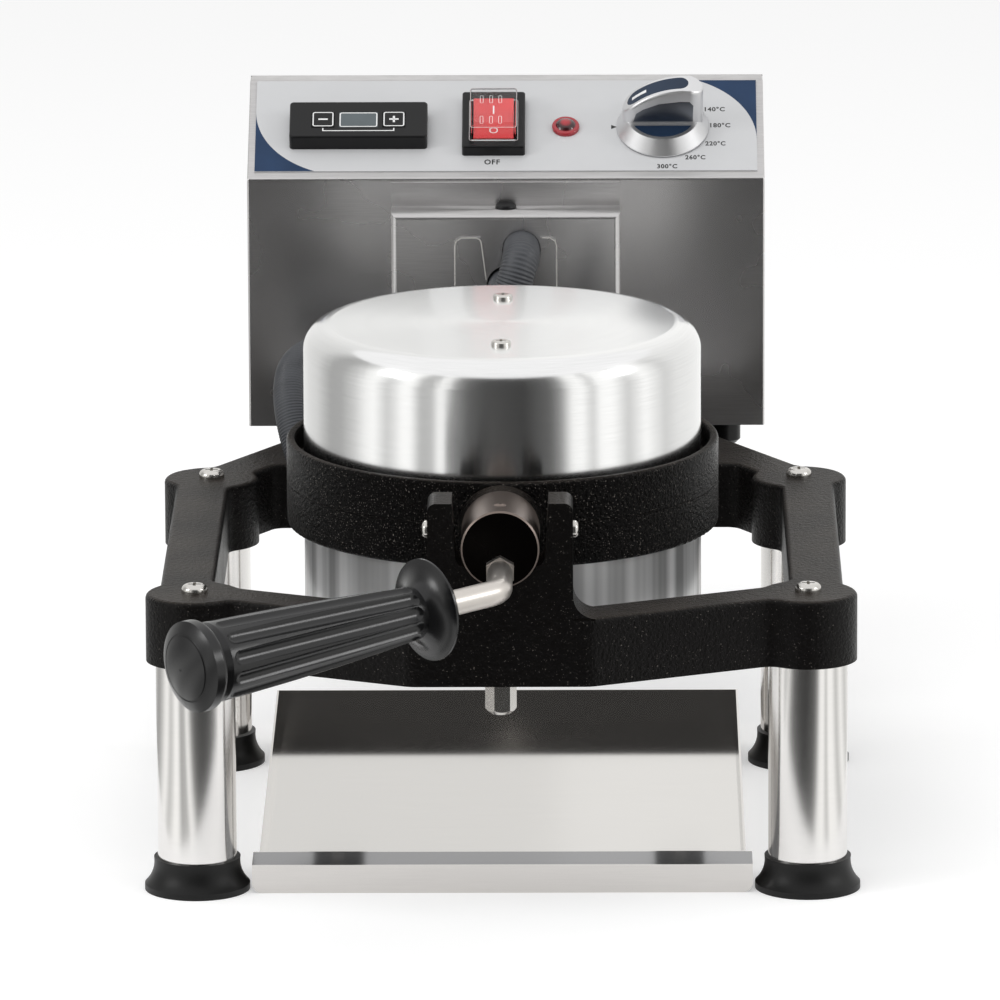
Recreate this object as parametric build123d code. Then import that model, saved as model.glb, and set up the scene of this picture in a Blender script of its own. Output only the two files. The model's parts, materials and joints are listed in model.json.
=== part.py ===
from build123d import *
import os
from math import cos, pi, radians, sin, sqrt, tan

# Rotating waffle maker, in millimetres.
# X runs to the right, Y to the back and Z up. The origin is on the table, midway between the four legs.

# Legs and feet
leg_span_x = 293.0
leg_span_y = 244.0
leg_diameter = 38.0
leg_wall = 1.5
leg_plug = 15.0
foot_radius = 25.3
foot_collar = 20.8
foot_height = 16.0
foot_sole = 4.0
foot_rim = 3.0
foot_clearance = 0.05
foot_waist = 1.2

# Cast base frame
frame_bottom = 113.0
frame_height = 33.0
beam_width = 25.0
boss_radius = 23.5
side_bar_x = 150.5
front_beam_y = -165.5
front_knee_x = 40.0
front_arm_inset = 5.5
rear_knee_x = 88.0
rear_knee_y = 222.0
rear_arm_inset = 5.0
rear_beam_y = 163.0
casting_round = 2.5
inside_round = 8.0
pad_height = 1.2
pad_width = 18.0
pad_length = 60.0
pad_inset = 4.0
upright_root = 8.0
leg_screw = 8.0
leg_screw_head = 12.6
leg_screw_head_height = 4.0
leg_screw_length = 45.0
leg_hole_clearance = 0.3
screw_hole_clearance = 0.2

# Turning axis and front bearing
axis_z = 180.0
journal_radius = 18.6
journal_front = -179.0
journal_length = 43.0
neck_radius = 20.4
ear_half_width = 34.4
ear_rise = 22.0
mouth_half_width = 22.8
mouth_foot_half_width = 21.0
mouth_depth = 9.0
mouth_round = 6.0
ear_round = 4.0
pedestal_round = 11.0
cradle_clearance = 0.08
guide_rise = 7.0
guide_screw = 4.0
guide_head = 8.0
guide_head_height = 2.5
guide_gap = 0.5

# Index plunger under the front beam
plunger_flats = 13.0
plunger_height = 15.5
plunger_turn = 6.0
plunger_nose = 2.4
plunger_shank = 10.0
plunger_bore = 7.4
ball_radius = 3.5
ball_gap = 0.8
dimple_depth = 1.8
spring_radius = 3.2
spring_wire = 0.8
spring_turns = 6
spring_play = 0.05
spring_floor = 18.0
shank_gap = 3.2
shank_roof = 3.0

# Rings
mould_y = -25.2
ring_radius = 104.7
ring_height = 21.0
rim_thickness = 4.2
ledge_radius = 92.3
ledge_top = 9.0
ledge_thickness = 4.0
flange_pocket_radius = 99.0
parting_gap = 0.3
ring_round = 1.6
journal_chamfer = 0.8

# Waffle plates
plate_radius = 92.0
plate_flange_radius = 98.6
plate_height = 18.0
cavity_radius = 84.0
cavity_depth = 11.0
stud_pitch = 19.0
stud_base = 12.0
stud_tip = 8.0
stud_gap = 5.6
cavity_draft = 2.0

# Heating elements and covers
heater_radius = 68.0
heater_tube = 4.0
heater_sink = 2.0
heater_span = 320.0
heater_clearance = 0.1
terminal_length = 14.0
cover_radius = 96.3
cover_height = 77.0
cover_wall = 1.5
cover_round = 13.0
cover_screw_offset = 53.0
cover_screw = 5.0
cover_screw_head = 9.6
cover_screw_head_height = 2.2
cover_screw_depth = 6.0

# Rear hinge and trunnion
hinge_y = 90.0
knuckle_radius = 9.5
pin_radius = 5.0
pin_clearance = 0.05
knuckle_gap = 0.3
centre_knuckle = 12.0
lower_knuckle = 22.0
upper_knuckle = 32.0
block_front = 100.5
block_rear = 118.0
block_half_width = 24.0
block_top = 9.3
hose_ear_x = 34.0
hose_ear_half = 9.5
hose_ear_depth = 12.0
pin_overhang = 1.5
pin_chamfer = 0.8
trunnion_radius = 12.0
shoulder_radius = 16.0
shoulder_rear = 149.8
trunnion_clearance = 0.05
bush_wall = 1.5
collar_length = 7.0
collar_gap = 0.5
bearing_half_width = 25.0
cap_radius = 17.4
cap_flange = 6.0
cap_screw = 5.0
cap_screw_x = 20.5
cap_screw_head = 8.0
cap_screw_head_height = 3.4
cap_screw_length = 26.0

# Handle
handle_drop = 10.0
handle_rod_diameter = 12.0
handle_stud_diameter = 8.0
handle_stud_depth = 28.0
handle_nut_flats = 13.0
handle_nut_height = 5.0
handle_bend_y = -222.0
handle_bend_radius = 14.0
handle_forward_angle = 37.5
handle_droop_angle = 2.9
grip_start = 40.5
grip_length = 143.0
grip_flange_radius = 24.2
grip_flange_thickness = 4.0
grip_neck_radius = 12.6
grip_end_radius = 18.8
grip_flutes = 12
flute_radius = 4.6
flute_depth = 2.0
flute_front = 12.0
flute_rear = 9.0
grip_shoulder = 4.0
tang_diameter = 8.0
tang_clearance = 0.1
tang_end = 8.0
tang_end_gap = 0.5
cap_ball_radius = 21.4
cap_ball_length = 13.0
cap_dome = 42.0
cap_round = 3.2
cap_groove_radius = 15.6
cap_groove_depth = 0.5

# Control housing
housing_width = 262.0
housing_front = 232.0
housing_depth = 77.6
housing_face_height = 128.3
housing_top_flat = 11.8
panel_angle = 30.0
housing_sheet = 1.2
housing_bend = 2.0
housing_edge = 0.9
back_flange = 12.0
back_screw = 4.0
back_screw_head = 7.0
back_screw_head_height = 2.2
back_screw_length = 5.0
back_screw_inset = 7.0
vent_rows = 6
vent_pitch = 11.0
vent_width = 60.0
vent_height = 4.0
vent_rise = 60.0
vent_offset = 55.0
fascia_low_margin = 5.0
fascia_high_margin = 1.5
fascia_side = 3.65
fascia_thickness = 0.6

# Cable bracket in front of the housing
bracket_half_width = 57.8
bracket_front = 209.0
bracket_top = 261.7
bracket_sheet = 2.0
bracket_bend = 3.0
bracket_flange = 10.0
bracket_flange_rise = 12.0
notch_half_width = 26.0
notch_top = 250.0
notch_bottom = 184.0
notch_sheet = 1.5
notch_round = 4.0
hole_clearance = 1.2
plug_radius = 5.3
plug_height = 2.6
plug_inset = 8.0

# Timer
timer_edge = 56.1
timer_drop = 2.6
timer_width = 70.0
timer_height = 27.3
timer_thickness = 8.5
timer_round = 2.0
timer_back_depth = 18.0
button_u = 18.0
button_v = -0.6
button_width = 11.4
button_height = 11.4
button_travel = 1.0
button_proud = 0.4
button_clearance = 0.2
display_width = 19.6
display_height = 11.4

# Mains switch
switch_u = -6.3
switch_width = 32.0
switch_height = 43.0
switch_rim = 6.0
switch_wall = 4.8
switch_end_wall = 7.0
switch_well_drop = 1.0
switch_depth = 22.0
rocker_clearance = 1.0
rocker_pin = 1.5
rocker_pin_depth = 0.7
rocker_pin_clearance = 0.05
rocker_pin_end_gap = 0.2
rocker_drop = 5.5
rocker_swing = 16.0
rocker_rise = 3.4
splash_width = 24.0
splash_length = 31.0
splash_rise = 8.5
splash_wall = 0.8

# Pilot lamp
lamp_u = 30.3
lamp_radius = 7.0
lamp_rim = 2.0
lamp_dome = 2.4
lamp_barrel = 5.0
lamp_depth = 20.0

# Thermostat and knob
knob_edge = 51.4
knob_drop = 0.2
knob_radius = 24.0
knob_top_radius = 18.6
knob_skirt = 8.0
knob_bar_length = 41.0
knob_bar_width = 13.0
knob_crest = 29.5
knob_crest_u = 14.0
knob_tail_drop = 2.5
knob_nose = 13.0
knob_bulge_u = -8.0
knob_bulge = 24.5
knob_bar_round = 1.5
knob_gap = 0.4
inlay_depth = 1.0
inlay_width = 8.6
inlay_length = 31.0
inlay_shift = 2.5
disc_gap = 1.5
shaft_radius = 3.0
shaft_depth = 8.0
shaft_gap = 0.4
shaft_clearance = 0.05
thermostat_radius = 19.0
thermostat_depth = 26.0

# Inside the housing and on its underside
terminal_width = 80.0
terminal_depth = 24.0
terminal_height = 20.0
terminal_gap = 14.0
terminal_ways = 6
terminal_hole = 3.0
terminal_hole_depth = 9.0
gland_side = 20.0
gland_front = 15.0
gland_radius = 8.0
gland_length = 12.0
gland_bore = 4.0
gland_neck = 4.9
gland_neck_length = 5.0
gland_clearance = 0.1
gland_chamfer = 2.0

# Drip tray
tray_front = -133.0
tray_rear = 195.0
tray_foot_gap = 1.2
tray_lip_overhang = 3.0
tray_lip_depth = 24.0
tray_wall = 14.0
tray_rear_wall = 18.0
tray_sheet = 1.0
tray_corner = 5.0

# Conduits between the housing and the two halves
hose_radius = 8.5
hose_bore = 6.2
hose_rib = 0.7
hose_pitch = 3.4
hose_steady = (1, 0, 0.5)
hose_ease = 60.0
jumper_radius = 6.0
jumper_bore = 4.2
jumper_spigot_wall = 2.0
upper_hose_x = 8.0
upper_hose_z = 243.5
lower_hose_x = 0.0
lower_hose_z = 225.0
spigot_radius = 10.6
spigot_length = 6.0
spigot_root = 3.0
lower_gland_angle = 123.0
lower_gland_drop = 48.0
lower_gland_run = 26.0
upper_gland_angle = 65.0
upper_gland_rise = 42.0
upper_gland_run = 14.0

os.makedirs("parts", exist_ok=True)
frame_top = frame_bottom + frame_height
half_gap = parting_gap / 2
guide_tip = mouth_foot_half_width + guide_gap
pin_bore = pin_radius + pin_clearance
beam_front = front_beam_y - beam_width / 2
rod_z = axis_z - handle_drop
housing_bottom = frame_top + pad_height
housing_rear = housing_front + housing_depth
rear_arm_end = housing_rear - rear_arm_inset
pad_middle = rear_arm_end - pad_inset - pad_length / 2
housing_screw_y = [pad_middle - pad_length * 0.3, pad_middle + pad_length * 0.3]
slope = radians(panel_angle)
panel_length = (housing_depth - housing_top_flat) / cos(slope)
fascia_width = housing_width - 2 * fascia_side
timer_u, timer_v = timer_edge - housing_width / 2, panel_length / 2 - timer_drop
switch_v = lamp_v = panel_length / 2
knob_u, knob_v = housing_width / 2 - knob_edge, panel_length / 2 - knob_drop
gland_x, gland_y = housing_width / 2 - gland_side, housing_front + gland_front
tray_lip_width = leg_span_x - 2 * (foot_radius + tray_foot_gap)
tray_width = tray_lip_width - 2 * tray_lip_overhang
housing_face_top = housing_bottom + housing_face_height
parting_plane = Plane.XY.offset(axis_z)
leg_places = [(sx * leg_span_x / 2, sy * leg_span_y / 2) for sy in (-1, 1) for sx in (-1, 1)]
# How far cutting tools run past what they cut, and joined forms run into each other
through = 10.0
merge = 2.0


def save(name, *solids):
    shape = solids[0] if len(solids) == 1 else Compound(children=list(solids))
    export_step(shape, f"parts/{name}.step")


def block(low, high):
    size = [b - a for a, b in zip(low, high)]
    middle = [(a + b) / 2 for a, b in zip(low, high)]
    return Pos(*middle) * Box(*size)


def post(radius, x, y, low, high):
    return Pos(x, y, (low + high) / 2) * Cylinder(radius, high - low)


def shaft(radius, x, z, front, rear):
    return Pos(x, (front + rear) / 2, z) * Rot(90, 0, 0) * Cylinder(radius, rear - front)


def cross_pin(radius, y, z, left, right):
    return Pos((left + right) / 2, y, z) * Rot(0, 90, 0) * Cylinder(radius, right - left)


def turned(points):
    """Solid of revolution about Z from an outline of radius and height."""
    face = make_face(Polyline(*[(r, 0, z) for r, z in points], close=True))
    return revolve(face, Axis.Z)


def pan_screw(head, head_height, diameter, length):
    """Pan-head screw along Z, its head's seat at the origin and its head upwards."""
    top = Pos(0, 0, head_height / 2) * Cylinder(head / 2, head_height)
    top = fillet(top.edges().group_by(Axis.Z)[-1], head_height * 0.7)
    slot_depth = head_height * 0.45
    cross = Box(head * 0.5, head * 0.11, slot_depth) + Box(head * 0.11, head * 0.5, slot_depth)
    top -= Pos(0, 0, head_height - slot_depth / 2) * cross
    return top + Pos(0, 0, -length / 2) * Cylinder(diameter / 2, length)


# Legs and feet
def make_leg(x, y):
    tube = post(leg_diameter / 2, x, y, foot_sole, frame_bottom)
    tube -= post(leg_diameter / 2 - leg_wall, x, y, foot_sole, frame_bottom - leg_plug)
    return tube - post(leg_screw / 2, x, y, foot_sole, frame_bottom)


def make_foot(x, y):
    seat = leg_diameter / 2 + foot_clearance
    inside = Polyline((seat, foot_height), (seat, foot_sole), (0, foot_sole), (0, 0))
    outline = inside + Polyline((0, 0), (foot_radius, 0), (foot_radius, foot_rim))
    waist = (foot_collar + foot_radius) / 2 - foot_waist
    flare = ThreePointArc((foot_radius, foot_rim), (waist, foot_height / 2), (foot_collar, foot_height))
    top = Line((foot_collar, foot_height), (seat, foot_height))
    face = make_face(Plane.XZ * (outline + flare + top))
    return Pos(x, y, 0) * revolve(face, Axis.Z)


corner_names = ["front_left", "front_right", "rear_left", "rear_right"]
for corner, (x, y) in zip(corner_names, leg_places):
    save(f"leg_{corner}", make_leg(x, y))
    save(f"foot_{corner}", make_foot(x, y))

leg_screw_shape = pan_screw(leg_screw_head, leg_screw_head_height, leg_screw, leg_screw_length)
save("leg_screws", *[Pos(x, y, frame_top) * leg_screw_shape for x, y in leg_places])


# Base frame
def bar(start, end, width):
    a, b = Vector(*start), Vector(*end)
    middle = (a + b) * 0.5
    angle = Vector(1, 0, 0).get_signed_angle(b - a, Vector(0, 0, 1))
    return Pos(middle.X, middle.Y) * Rot(0, 0, angle) * Rectangle((b - a).length, width)


def frame_plan():
    boss_x, boss_y = leg_span_x / 2, leg_span_y / 2
    plan = bar((-front_knee_x, front_beam_y), (front_knee_x, front_beam_y), beam_width)
    cross_x = boss_x - (rear_beam_y - boss_y) * (boss_x - rear_knee_x) / (rear_knee_y - boss_y)
    plan += bar((-cross_x, rear_beam_y), (cross_x, rear_beam_y), beam_width)
    for side in (-1, 1):
        plan += bar((side * side_bar_x, -boss_y), (side * side_bar_x, boss_y), beam_width + 1)
        root = (side * boss_x, front_arm_inset - boss_y)
        knee = (side * front_knee_x, front_beam_y)
        plan += bar(root, knee, beam_width) + Pos(*knee) * Circle(beam_width / 2)
        rear_knee = (side * rear_knee_x, rear_knee_y)
        plan += bar((side * boss_x, boss_y), rear_knee, beam_width)
        plan += Pos(*rear_knee) * Circle(beam_width / 2)
        plan += bar(rear_knee, (side * rear_knee_x, rear_arm_end), beam_width)
        for end in (-1, 1):
            plan += Pos(side * boss_x, end * boss_y) * Circle(boss_radius)
    return plan


def front_pedestal():
    """Upright cheeks of the open front bearing, flush with the beam's front face."""
    top = axis_z + ear_rise
    body = Rectangle(2 * ear_half_width, top - frame_top + upright_root, align=(Align.CENTER, Align.MAX))
    body = Pos(0, top) * fillet(body.vertices().group_by(Axis.Y)[-1], ear_round)
    foot = Pos(0, frame_top) * Rectangle(
        2 * (ear_half_width + pedestal_round), pedestal_round, align=(Align.CENTER, Align.MIN)
    )
    for side in (-1, 1):
        corner_x = side * (ear_half_width + pedestal_round)
        foot -= Pos(corner_x, frame_top + pedestal_round) * Circle(pedestal_round)
    seat = journal_radius + cradle_clearance
    mouth = Pos(0, axis_z) * Circle(seat)
    mouth_foot = axis_z - mouth_depth
    throat = make_face(
        Polyline(
            (-mouth_foot_half_width, mouth_foot), (mouth_foot_half_width, mouth_foot),
            (mouth_half_width, top), (-mouth_half_width, top), close=True,
        )
    )
    mouth += fillet(throat.vertices().group_by(Axis.Y)[0], mouth_round)
    profile = body + foot - mouth
    front = Plane.XZ.offset(-beam_front)
    return extrude(front * profile, -beam_width)


def rear_pedestal():
    low, high = rear_beam_y - beam_width / 2, rear_beam_y + beam_width / 2
    body = block((-bearing_half_width, low, frame_top - upright_root), (bearing_half_width, high, axis_z))
    return body - shaft(trunnion_radius + trunnion_clearance + bush_wall, 0, axis_z, low, high)


def make_frame():
    plan = offset(offset(frame_plan(), inside_round), -inside_round)
    frame = Pos(0, 0, frame_bottom) * extrude(plan, frame_height)
    edges = frame.edges().group_by(Axis.Z)
    frame = fillet(edges[-1], casting_round)
    frame = frame + front_pedestal() + rear_pedestal()
    for side in (-1, 1):
        x = side * rear_knee_x
        frame += Pos(x, pad_middle, frame_top) * Box(pad_width, pad_length, 2 * pad_height)
        ends = sorted((side * guide_tip, side * (ear_half_width + 1)))
        frame -= cross_pin(guide_screw / 2, front_beam_y, axis_z + guide_rise, *ends)
    for x, y in leg_places:
        frame -= post(leg_screw / 2 + leg_hole_clearance, x, y, frame_bottom, frame_top)
    frame -= post(plunger_shank / 2, 0, front_beam_y, frame_bottom, axis_z - journal_radius - shank_roof)
    frame -= post(plunger_bore / 2, 0, front_beam_y, frame_bottom, axis_z - journal_radius + merge)
    for side in (-1, 1):
        frame -= post(cap_screw / 2, side * cap_screw_x, rear_beam_y, axis_z - cap_screw_length, axis_z)
        for y in housing_screw_y:
            hole = back_screw / 2 + screw_hole_clearance
            frame -= post(hole, side * rear_knee_x, y, frame_bottom, housing_bottom)
    return frame


save("base_frame", make_frame())

# Guide screws through the cheeks
guide_shape = pan_screw(guide_head, guide_head_height, guide_screw, ear_half_width - guide_tip)
guide_screws = []
for side in (-1, 1):
    place = Pos(side * ear_half_width, front_beam_y, axis_z + guide_rise) * Rot(0, 90 * side, 0)
    guide_screws.append(place * guide_shape)
save("cradle_screws", *guide_screws)

# Index plunger
ball_z = axis_z - journal_radius - ball_gap - ball_radius
shank_top = axis_z - journal_radius - shank_gap
spring_seat = frame_bottom + spring_floor
plunger = extrude(
    RegularPolygon(plunger_flats / 2, 6, major_radius=False, rotation=plunger_turn), plunger_height
)
plunger_corner = plunger_flats / sqrt(3)
plunger &= turned(
    [
        (0, 0), (plunger_corner - plunger_nose, 0), (plunger_corner, plunger_nose),
        (plunger_corner, plunger_height), (0, plunger_height),
    ]
)
plunger = Pos(0, 0, frame_bottom - plunger_height) * plunger
plunger += post(plunger_shank / 2, 0, 0, frame_bottom, shank_top)
plunger -= post(plunger_bore / 2, 0, 0, spring_seat, shank_top)
save("detent_body", Pos(0, front_beam_y, 0) * plunger)
save("detent_ball", Pos(0, front_beam_y, ball_z) * Sphere(ball_radius))
spring_top = ball_z - sqrt(ball_radius**2 - (spring_radius - spring_wire) ** 2)
spring_height = spring_top - spring_seat - spring_wire
spring_path = Helix(spring_height / spring_turns, spring_height, spring_radius - spring_wire / 2)
spring_start = Plane(spring_path @ 0, z_dir=spring_path % 0)
spring = sweep(spring_start * Circle(spring_wire / 2), spring_path, is_frenet=True)
save("detent_spring", Pos(0, front_beam_y, spring_seat + spring_wire / 2 + spring_play) * spring)


# Rings and the front journal
def ring_half():
    """Upper ring, with its parting face half a gap above the axis."""
    rim = ring_radius - rim_thickness
    under = ledge_top - ledge_thickness
    profile = [
        (flange_pocket_radius, half_gap),
        (ring_radius, half_gap),
        (ring_radius, ring_height),
        (rim, ring_height),
        (rim, ledge_top),
        (ledge_radius, ledge_top),
        (ledge_radius, under),
        (flange_pocket_radius, under),
    ]
    ring = turned(profile)
    ring = fillet(ring.edges().group_by(Axis.Z)[-1], ring_round)
    return Pos(0, mould_y, axis_z) * ring


def front_journal():
    """Whole journal of the lower ring, cut back clear of the upper ring."""
    ring_front = mould_y - ring_radius
    journal_rear = journal_front + journal_length
    journal = shaft(journal_radius, 0, axis_z, journal_front, ring_front + rim_thickness - 1)
    journal = chamfer(journal.edges().group_by(Axis.Y)[0], journal_chamfer)
    neck_rear = ring_front + merge
    neck = Cone(journal_radius, neck_radius, neck_rear - journal_rear)
    journal += Pos(0, (journal_rear + neck_rear) / 2, axis_z) * Rot(-90, 0, 0) * neck
    above = axis_z - merge / 2
    journal -= post(ring_radius + parting_gap, 0, mould_y, above, axis_z + 2 * neck_radius)
    dimple_offset = journal_radius + ball_radius - dimple_depth
    for side in (-1, 1):
        journal -= Pos(0, front_beam_y, axis_z + side * dimple_offset) * Sphere(ball_radius)
    return journal


def ring_knuckles(inner, outer):
    """Pair of hinge lugs behind a ring, between two distances from the middle."""
    lugs = None
    arm_front = mould_y + ring_radius - rim_thickness
    for side in (-1, 1):
        left, right = sorted((side * inner, side * outer))
        arm = block((left, arm_front, axis_z + half_gap), (right, hinge_y, axis_z + knuckle_radius))
        arm -= Pos(0, mould_y, axis_z) * Cylinder(ring_radius - rim_thickness, 4 * ring_height)
        lug = arm + cross_pin(knuckle_radius, hinge_y, axis_z, left, right)
        lugs = lug if lugs is None else lugs + lug
    return lugs


def drilled(body):
    return body - cross_pin(pin_bore, hinge_y, axis_z, -2 * upper_knuckle, 2 * upper_knuckle)


def flip(body):
    return mirror(body, about=parting_plane)


half = ring_half()
upper_lugs = ring_knuckles(lower_knuckle + knuckle_gap, upper_knuckle)
lower_lugs = flip(ring_knuckles(centre_knuckle + knuckle_gap, lower_knuckle))
upper_ring = drilled(half + upper_lugs)
lower_ring = drilled(flip(half) + front_journal() + lower_lugs)
stud_end = journal_front + handle_stud_depth
save("upper_ring", upper_ring)
save("lower_ring", lower_ring - shaft(handle_stud_diameter / 2, 0, rod_z, journal_front, stud_end))


# Waffle plates
def stud_places():
    reach = cavity_radius - stud_base * 0.75
    count = int(reach // stud_pitch) + 1
    places = []
    for i in range(-count, count):
        for j in range(-count, count):
            x, y = (i + 0.5) * stud_pitch, (j + 0.5) * stud_pitch
            if sqrt(x * x + y * y) < reach:
                places.append((x, y))
    return places


def heater_circle(tube):
    return Pos(0, 0, plate_height + heater_tube - heater_sink) * Torus(heater_radius, tube)


def plate_half():
    flange_top = ledge_top - ledge_thickness
    profile = [
        (cavity_radius, half_gap),
        (plate_flange_radius, half_gap),
        (plate_flange_radius, flange_top),
        (plate_radius, flange_top),
        (plate_radius, plate_height),
        (0, plate_height),
        (0, cavity_depth),
        (cavity_radius - cavity_draft, cavity_depth),
    ]
    plate = turned(profile)
    stud_height = cavity_depth - stud_gap / 2
    base = Plane.XY.offset(cavity_depth) * Rectangle(stud_base, stud_base)
    tip = Plane.XY.offset(cavity_depth - stud_height) * Rectangle(stud_tip, stud_tip)
    stud = loft([base, tip], ruled=True)
    plate += [Pos(x, y) * stud for x, y in stud_places()]
    plate -= heater_circle(heater_tube + heater_clearance)
    for side in (-1, 1):
        hole = Cylinder(cover_screw / 2, cover_screw_depth)
        plate -= Pos(0, side * cover_screw_offset, plate_height - cover_screw_depth / 2) * hole
    return Pos(0, mould_y, axis_z) * plate


def heater_half():
    level = plate_height + heater_tube - heater_sink
    section = Plane.XZ * Pos(heater_radius, level) * Circle(heater_tube)
    tube = revolve(section, Axis.Z, heater_span)
    for angle in (0, heater_span):
        x, y = heater_radius * cos(radians(angle)), heater_radius * sin(radians(angle))
        tube += post(heater_tube, x, y, level, level + terminal_length)
    return Pos(0, mould_y, axis_z) * tube


upper_plate = plate_half()
save("upper_plate", upper_plate)
save("lower_plate", flip(upper_plate))
upper_heater = heater_half()
save("upper_heater", upper_heater)
save("lower_heater", flip(upper_heater))


# Covers
def gland_plane(angle, height):
    """Plane on the flat end of a cover's hose spigot, facing outwards."""
    outward = Vector(cos(radians(angle)), sin(radians(angle)), 0)
    centre = Vector(0, mould_y, axis_z + height) + outward * (cover_radius + spigot_length)
    return Plane(centre, x_dir=(0, 0, 1), z_dir=outward)


def cover_half(plane, bore, neck):
    top = axis_z + cover_height
    body = post(cover_radius, 0, mould_y, axis_z + ledge_top, top)
    cover = fillet(body.edges().group_by(Axis.Z)[-1], cover_round)
    inside = post(cover_radius - cover_wall, 0, mould_y, axis_z + ledge_top, top - cover_wall)
    inside = fillet(inside.edges().group_by(Axis.Z)[-1], cover_round - cover_wall)
    cover += extrude(plane * Circle(neck), -spigot_length - spigot_root)
    cover -= inside
    cover -= extrude(plane * Circle(bore), -spigot_length - spigot_root)
    for y in cover_screw_y:
        cover -= post(cover_screw / 2 + screw_hole_clearance, 0, y, top - through, top + through)
    return cover


cover_stud = cover_height - plate_height + cover_screw_depth
cover_screw_shape = pan_screw(cover_screw_head, cover_screw_head_height, cover_screw, cover_stud)
cover_screw_y = [mould_y - cover_screw_offset, mould_y + cover_screw_offset]
upper_screws = [Pos(0, y, axis_z + cover_height) * cover_screw_shape for y in cover_screw_y]
jumper_spigot = jumper_radius + jumper_spigot_wall
upper_spigot_plane = gland_plane(upper_gland_angle, upper_gland_rise)
lower_spigot_plane = gland_plane(lower_gland_angle, lower_gland_drop)
save("upper_cover", cover_half(upper_spigot_plane, jumper_bore, jumper_spigot))
save("lower_cover", flip(cover_half(lower_spigot_plane, hose_bore, spigot_radius)))
save("upper_cover_screws", *upper_screws)
save("lower_cover_screws", *[flip(screw) for screw in upper_screws])

# Hinge block with its trunnion
trunnion_rear = rear_beam_y + beam_width / 2 + collar_gap + collar_length
hinge_block = cross_pin(knuckle_radius, hinge_y, axis_z, -centre_knuckle, centre_knuckle)
hinge_block += block(
    (-centre_knuckle, hinge_y, axis_z - knuckle_radius + 1),
    (centre_knuckle, block_front + merge, axis_z + knuckle_radius - 1),
)
hinge_block += block(
    (-block_half_width, block_front, axis_z - block_top), (block_half_width, block_rear, axis_z + block_top)
)
for side in (-1, 1):
    left, right = sorted((side * (block_half_width - merge), side * (hose_ear_x + hose_ear_half)))
    ear_front = block_rear - hose_ear_depth
    hinge_block += block((left, ear_front, axis_z - block_top), (right, block_rear, axis_z + block_top))
    bore = hose_bore if side < 0 else jumper_bore
    hinge_block -= shaft(bore, side * hose_ear_x, axis_z, ear_front, block_rear)
hinge_block += shaft(shoulder_radius, 0, axis_z, block_rear - 1, shoulder_rear)
hinge_block += shaft(trunnion_radius, 0, axis_z, shoulder_rear - 1, trunnion_rear)
save("hinge_block", drilled(hinge_block))
pin_end = upper_knuckle + pin_overhang
hinge_pin = cross_pin(pin_radius, hinge_y, axis_z, -pin_end, pin_end)
pin_rims = hinge_pin.edges().group_by(Axis.X)
hinge_pin = chamfer(pin_rims[0] + pin_rims[-1], pin_chamfer)
save("hinge_pin", hinge_pin)

# Rear bearing
bush_front, bush_rear = rear_beam_y - beam_width / 2, rear_beam_y + beam_width / 2
bush_radius = trunnion_radius + trunnion_clearance + bush_wall
bush = shaft(bush_radius, 0, axis_z, bush_front, bush_rear)
bush -= shaft(trunnion_radius + trunnion_clearance, 0, axis_z, bush_front, bush_rear)
save("rear_bearing_bush", bush)
bearing_cap = block(
    (-bearing_half_width, bush_front, axis_z), (bearing_half_width, bush_rear, axis_z + cap_flange)
)
cap_arch = shaft(cap_radius, 0, axis_z, bush_front, bush_rear)
cap_arch &= block((-cap_radius, bush_front, axis_z), (cap_radius, bush_rear, axis_z + cap_radius))
bearing_cap = bearing_cap + cap_arch - shaft(bush_radius, 0, axis_z, bush_front, bush_rear)
cap_screws = []
cap_screw_shape = pan_screw(cap_screw_head, cap_screw_head_height, cap_screw, cap_screw_length)
for side in (-1, 1):
    x = side * cap_screw_x
    bearing_cap -= post(cap_screw / 2 + screw_hole_clearance, x, rear_beam_y, axis_z, axis_z + cap_flange)
    cap_screws.append(Pos(x, rear_beam_y, axis_z + cap_flange) * cap_screw_shape)
save("rear_bearing_cap", bearing_cap)
save("bearing_cap_screws", *cap_screws)
collar_front = bush_rear + collar_gap
collar_rear = collar_front + collar_length
collar = shaft(shoulder_radius, 0, axis_z, collar_front, collar_rear)
save("trunnion_collar", collar - shaft(trunnion_radius, 0, axis_z, collar_front, collar_rear))

# Handle
forward, droop = radians(handle_forward_angle), radians(handle_droop_angle)
handle_dir = Vector(-cos(forward) * cos(droop), -sin(forward) * cos(droop), -sin(droop))
bend = Vector(0, handle_bend_y, rod_z)
rod_start = Vector(0, journal_front - handle_nut_height, rod_z)
rod_path = FilletPolyline(rod_start, bend, bend + handle_dir * grip_start, radius=handle_bend_radius)
rod = sweep(Plane(rod_start, z_dir=(0, -1, 0)) * Circle(handle_rod_diameter / 2), rod_path)
rod += shaft(handle_stud_diameter / 2, 0, rod_z, journal_front - handle_nut_height - 1, stud_end - 1)
grip_plane = Plane(bend + handle_dir * grip_start, z_dir=handle_dir)
tang_length = grip_length - tang_end
rod += grip_plane.location * post(tang_diameter / 2, 0, 0, 0, tang_length)
save("handle_rod", rod)
nut = extrude(RegularPolygon(handle_nut_flats / 2, 6, major_radius=False, rotation=30), handle_nut_height)
nut -= Cylinder(handle_stud_diameter / 2, 4 * handle_nut_height)
save("handle_nut", Pos(0, journal_front, rod_z) * Rot(90, 0, 0) * nut)


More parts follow.
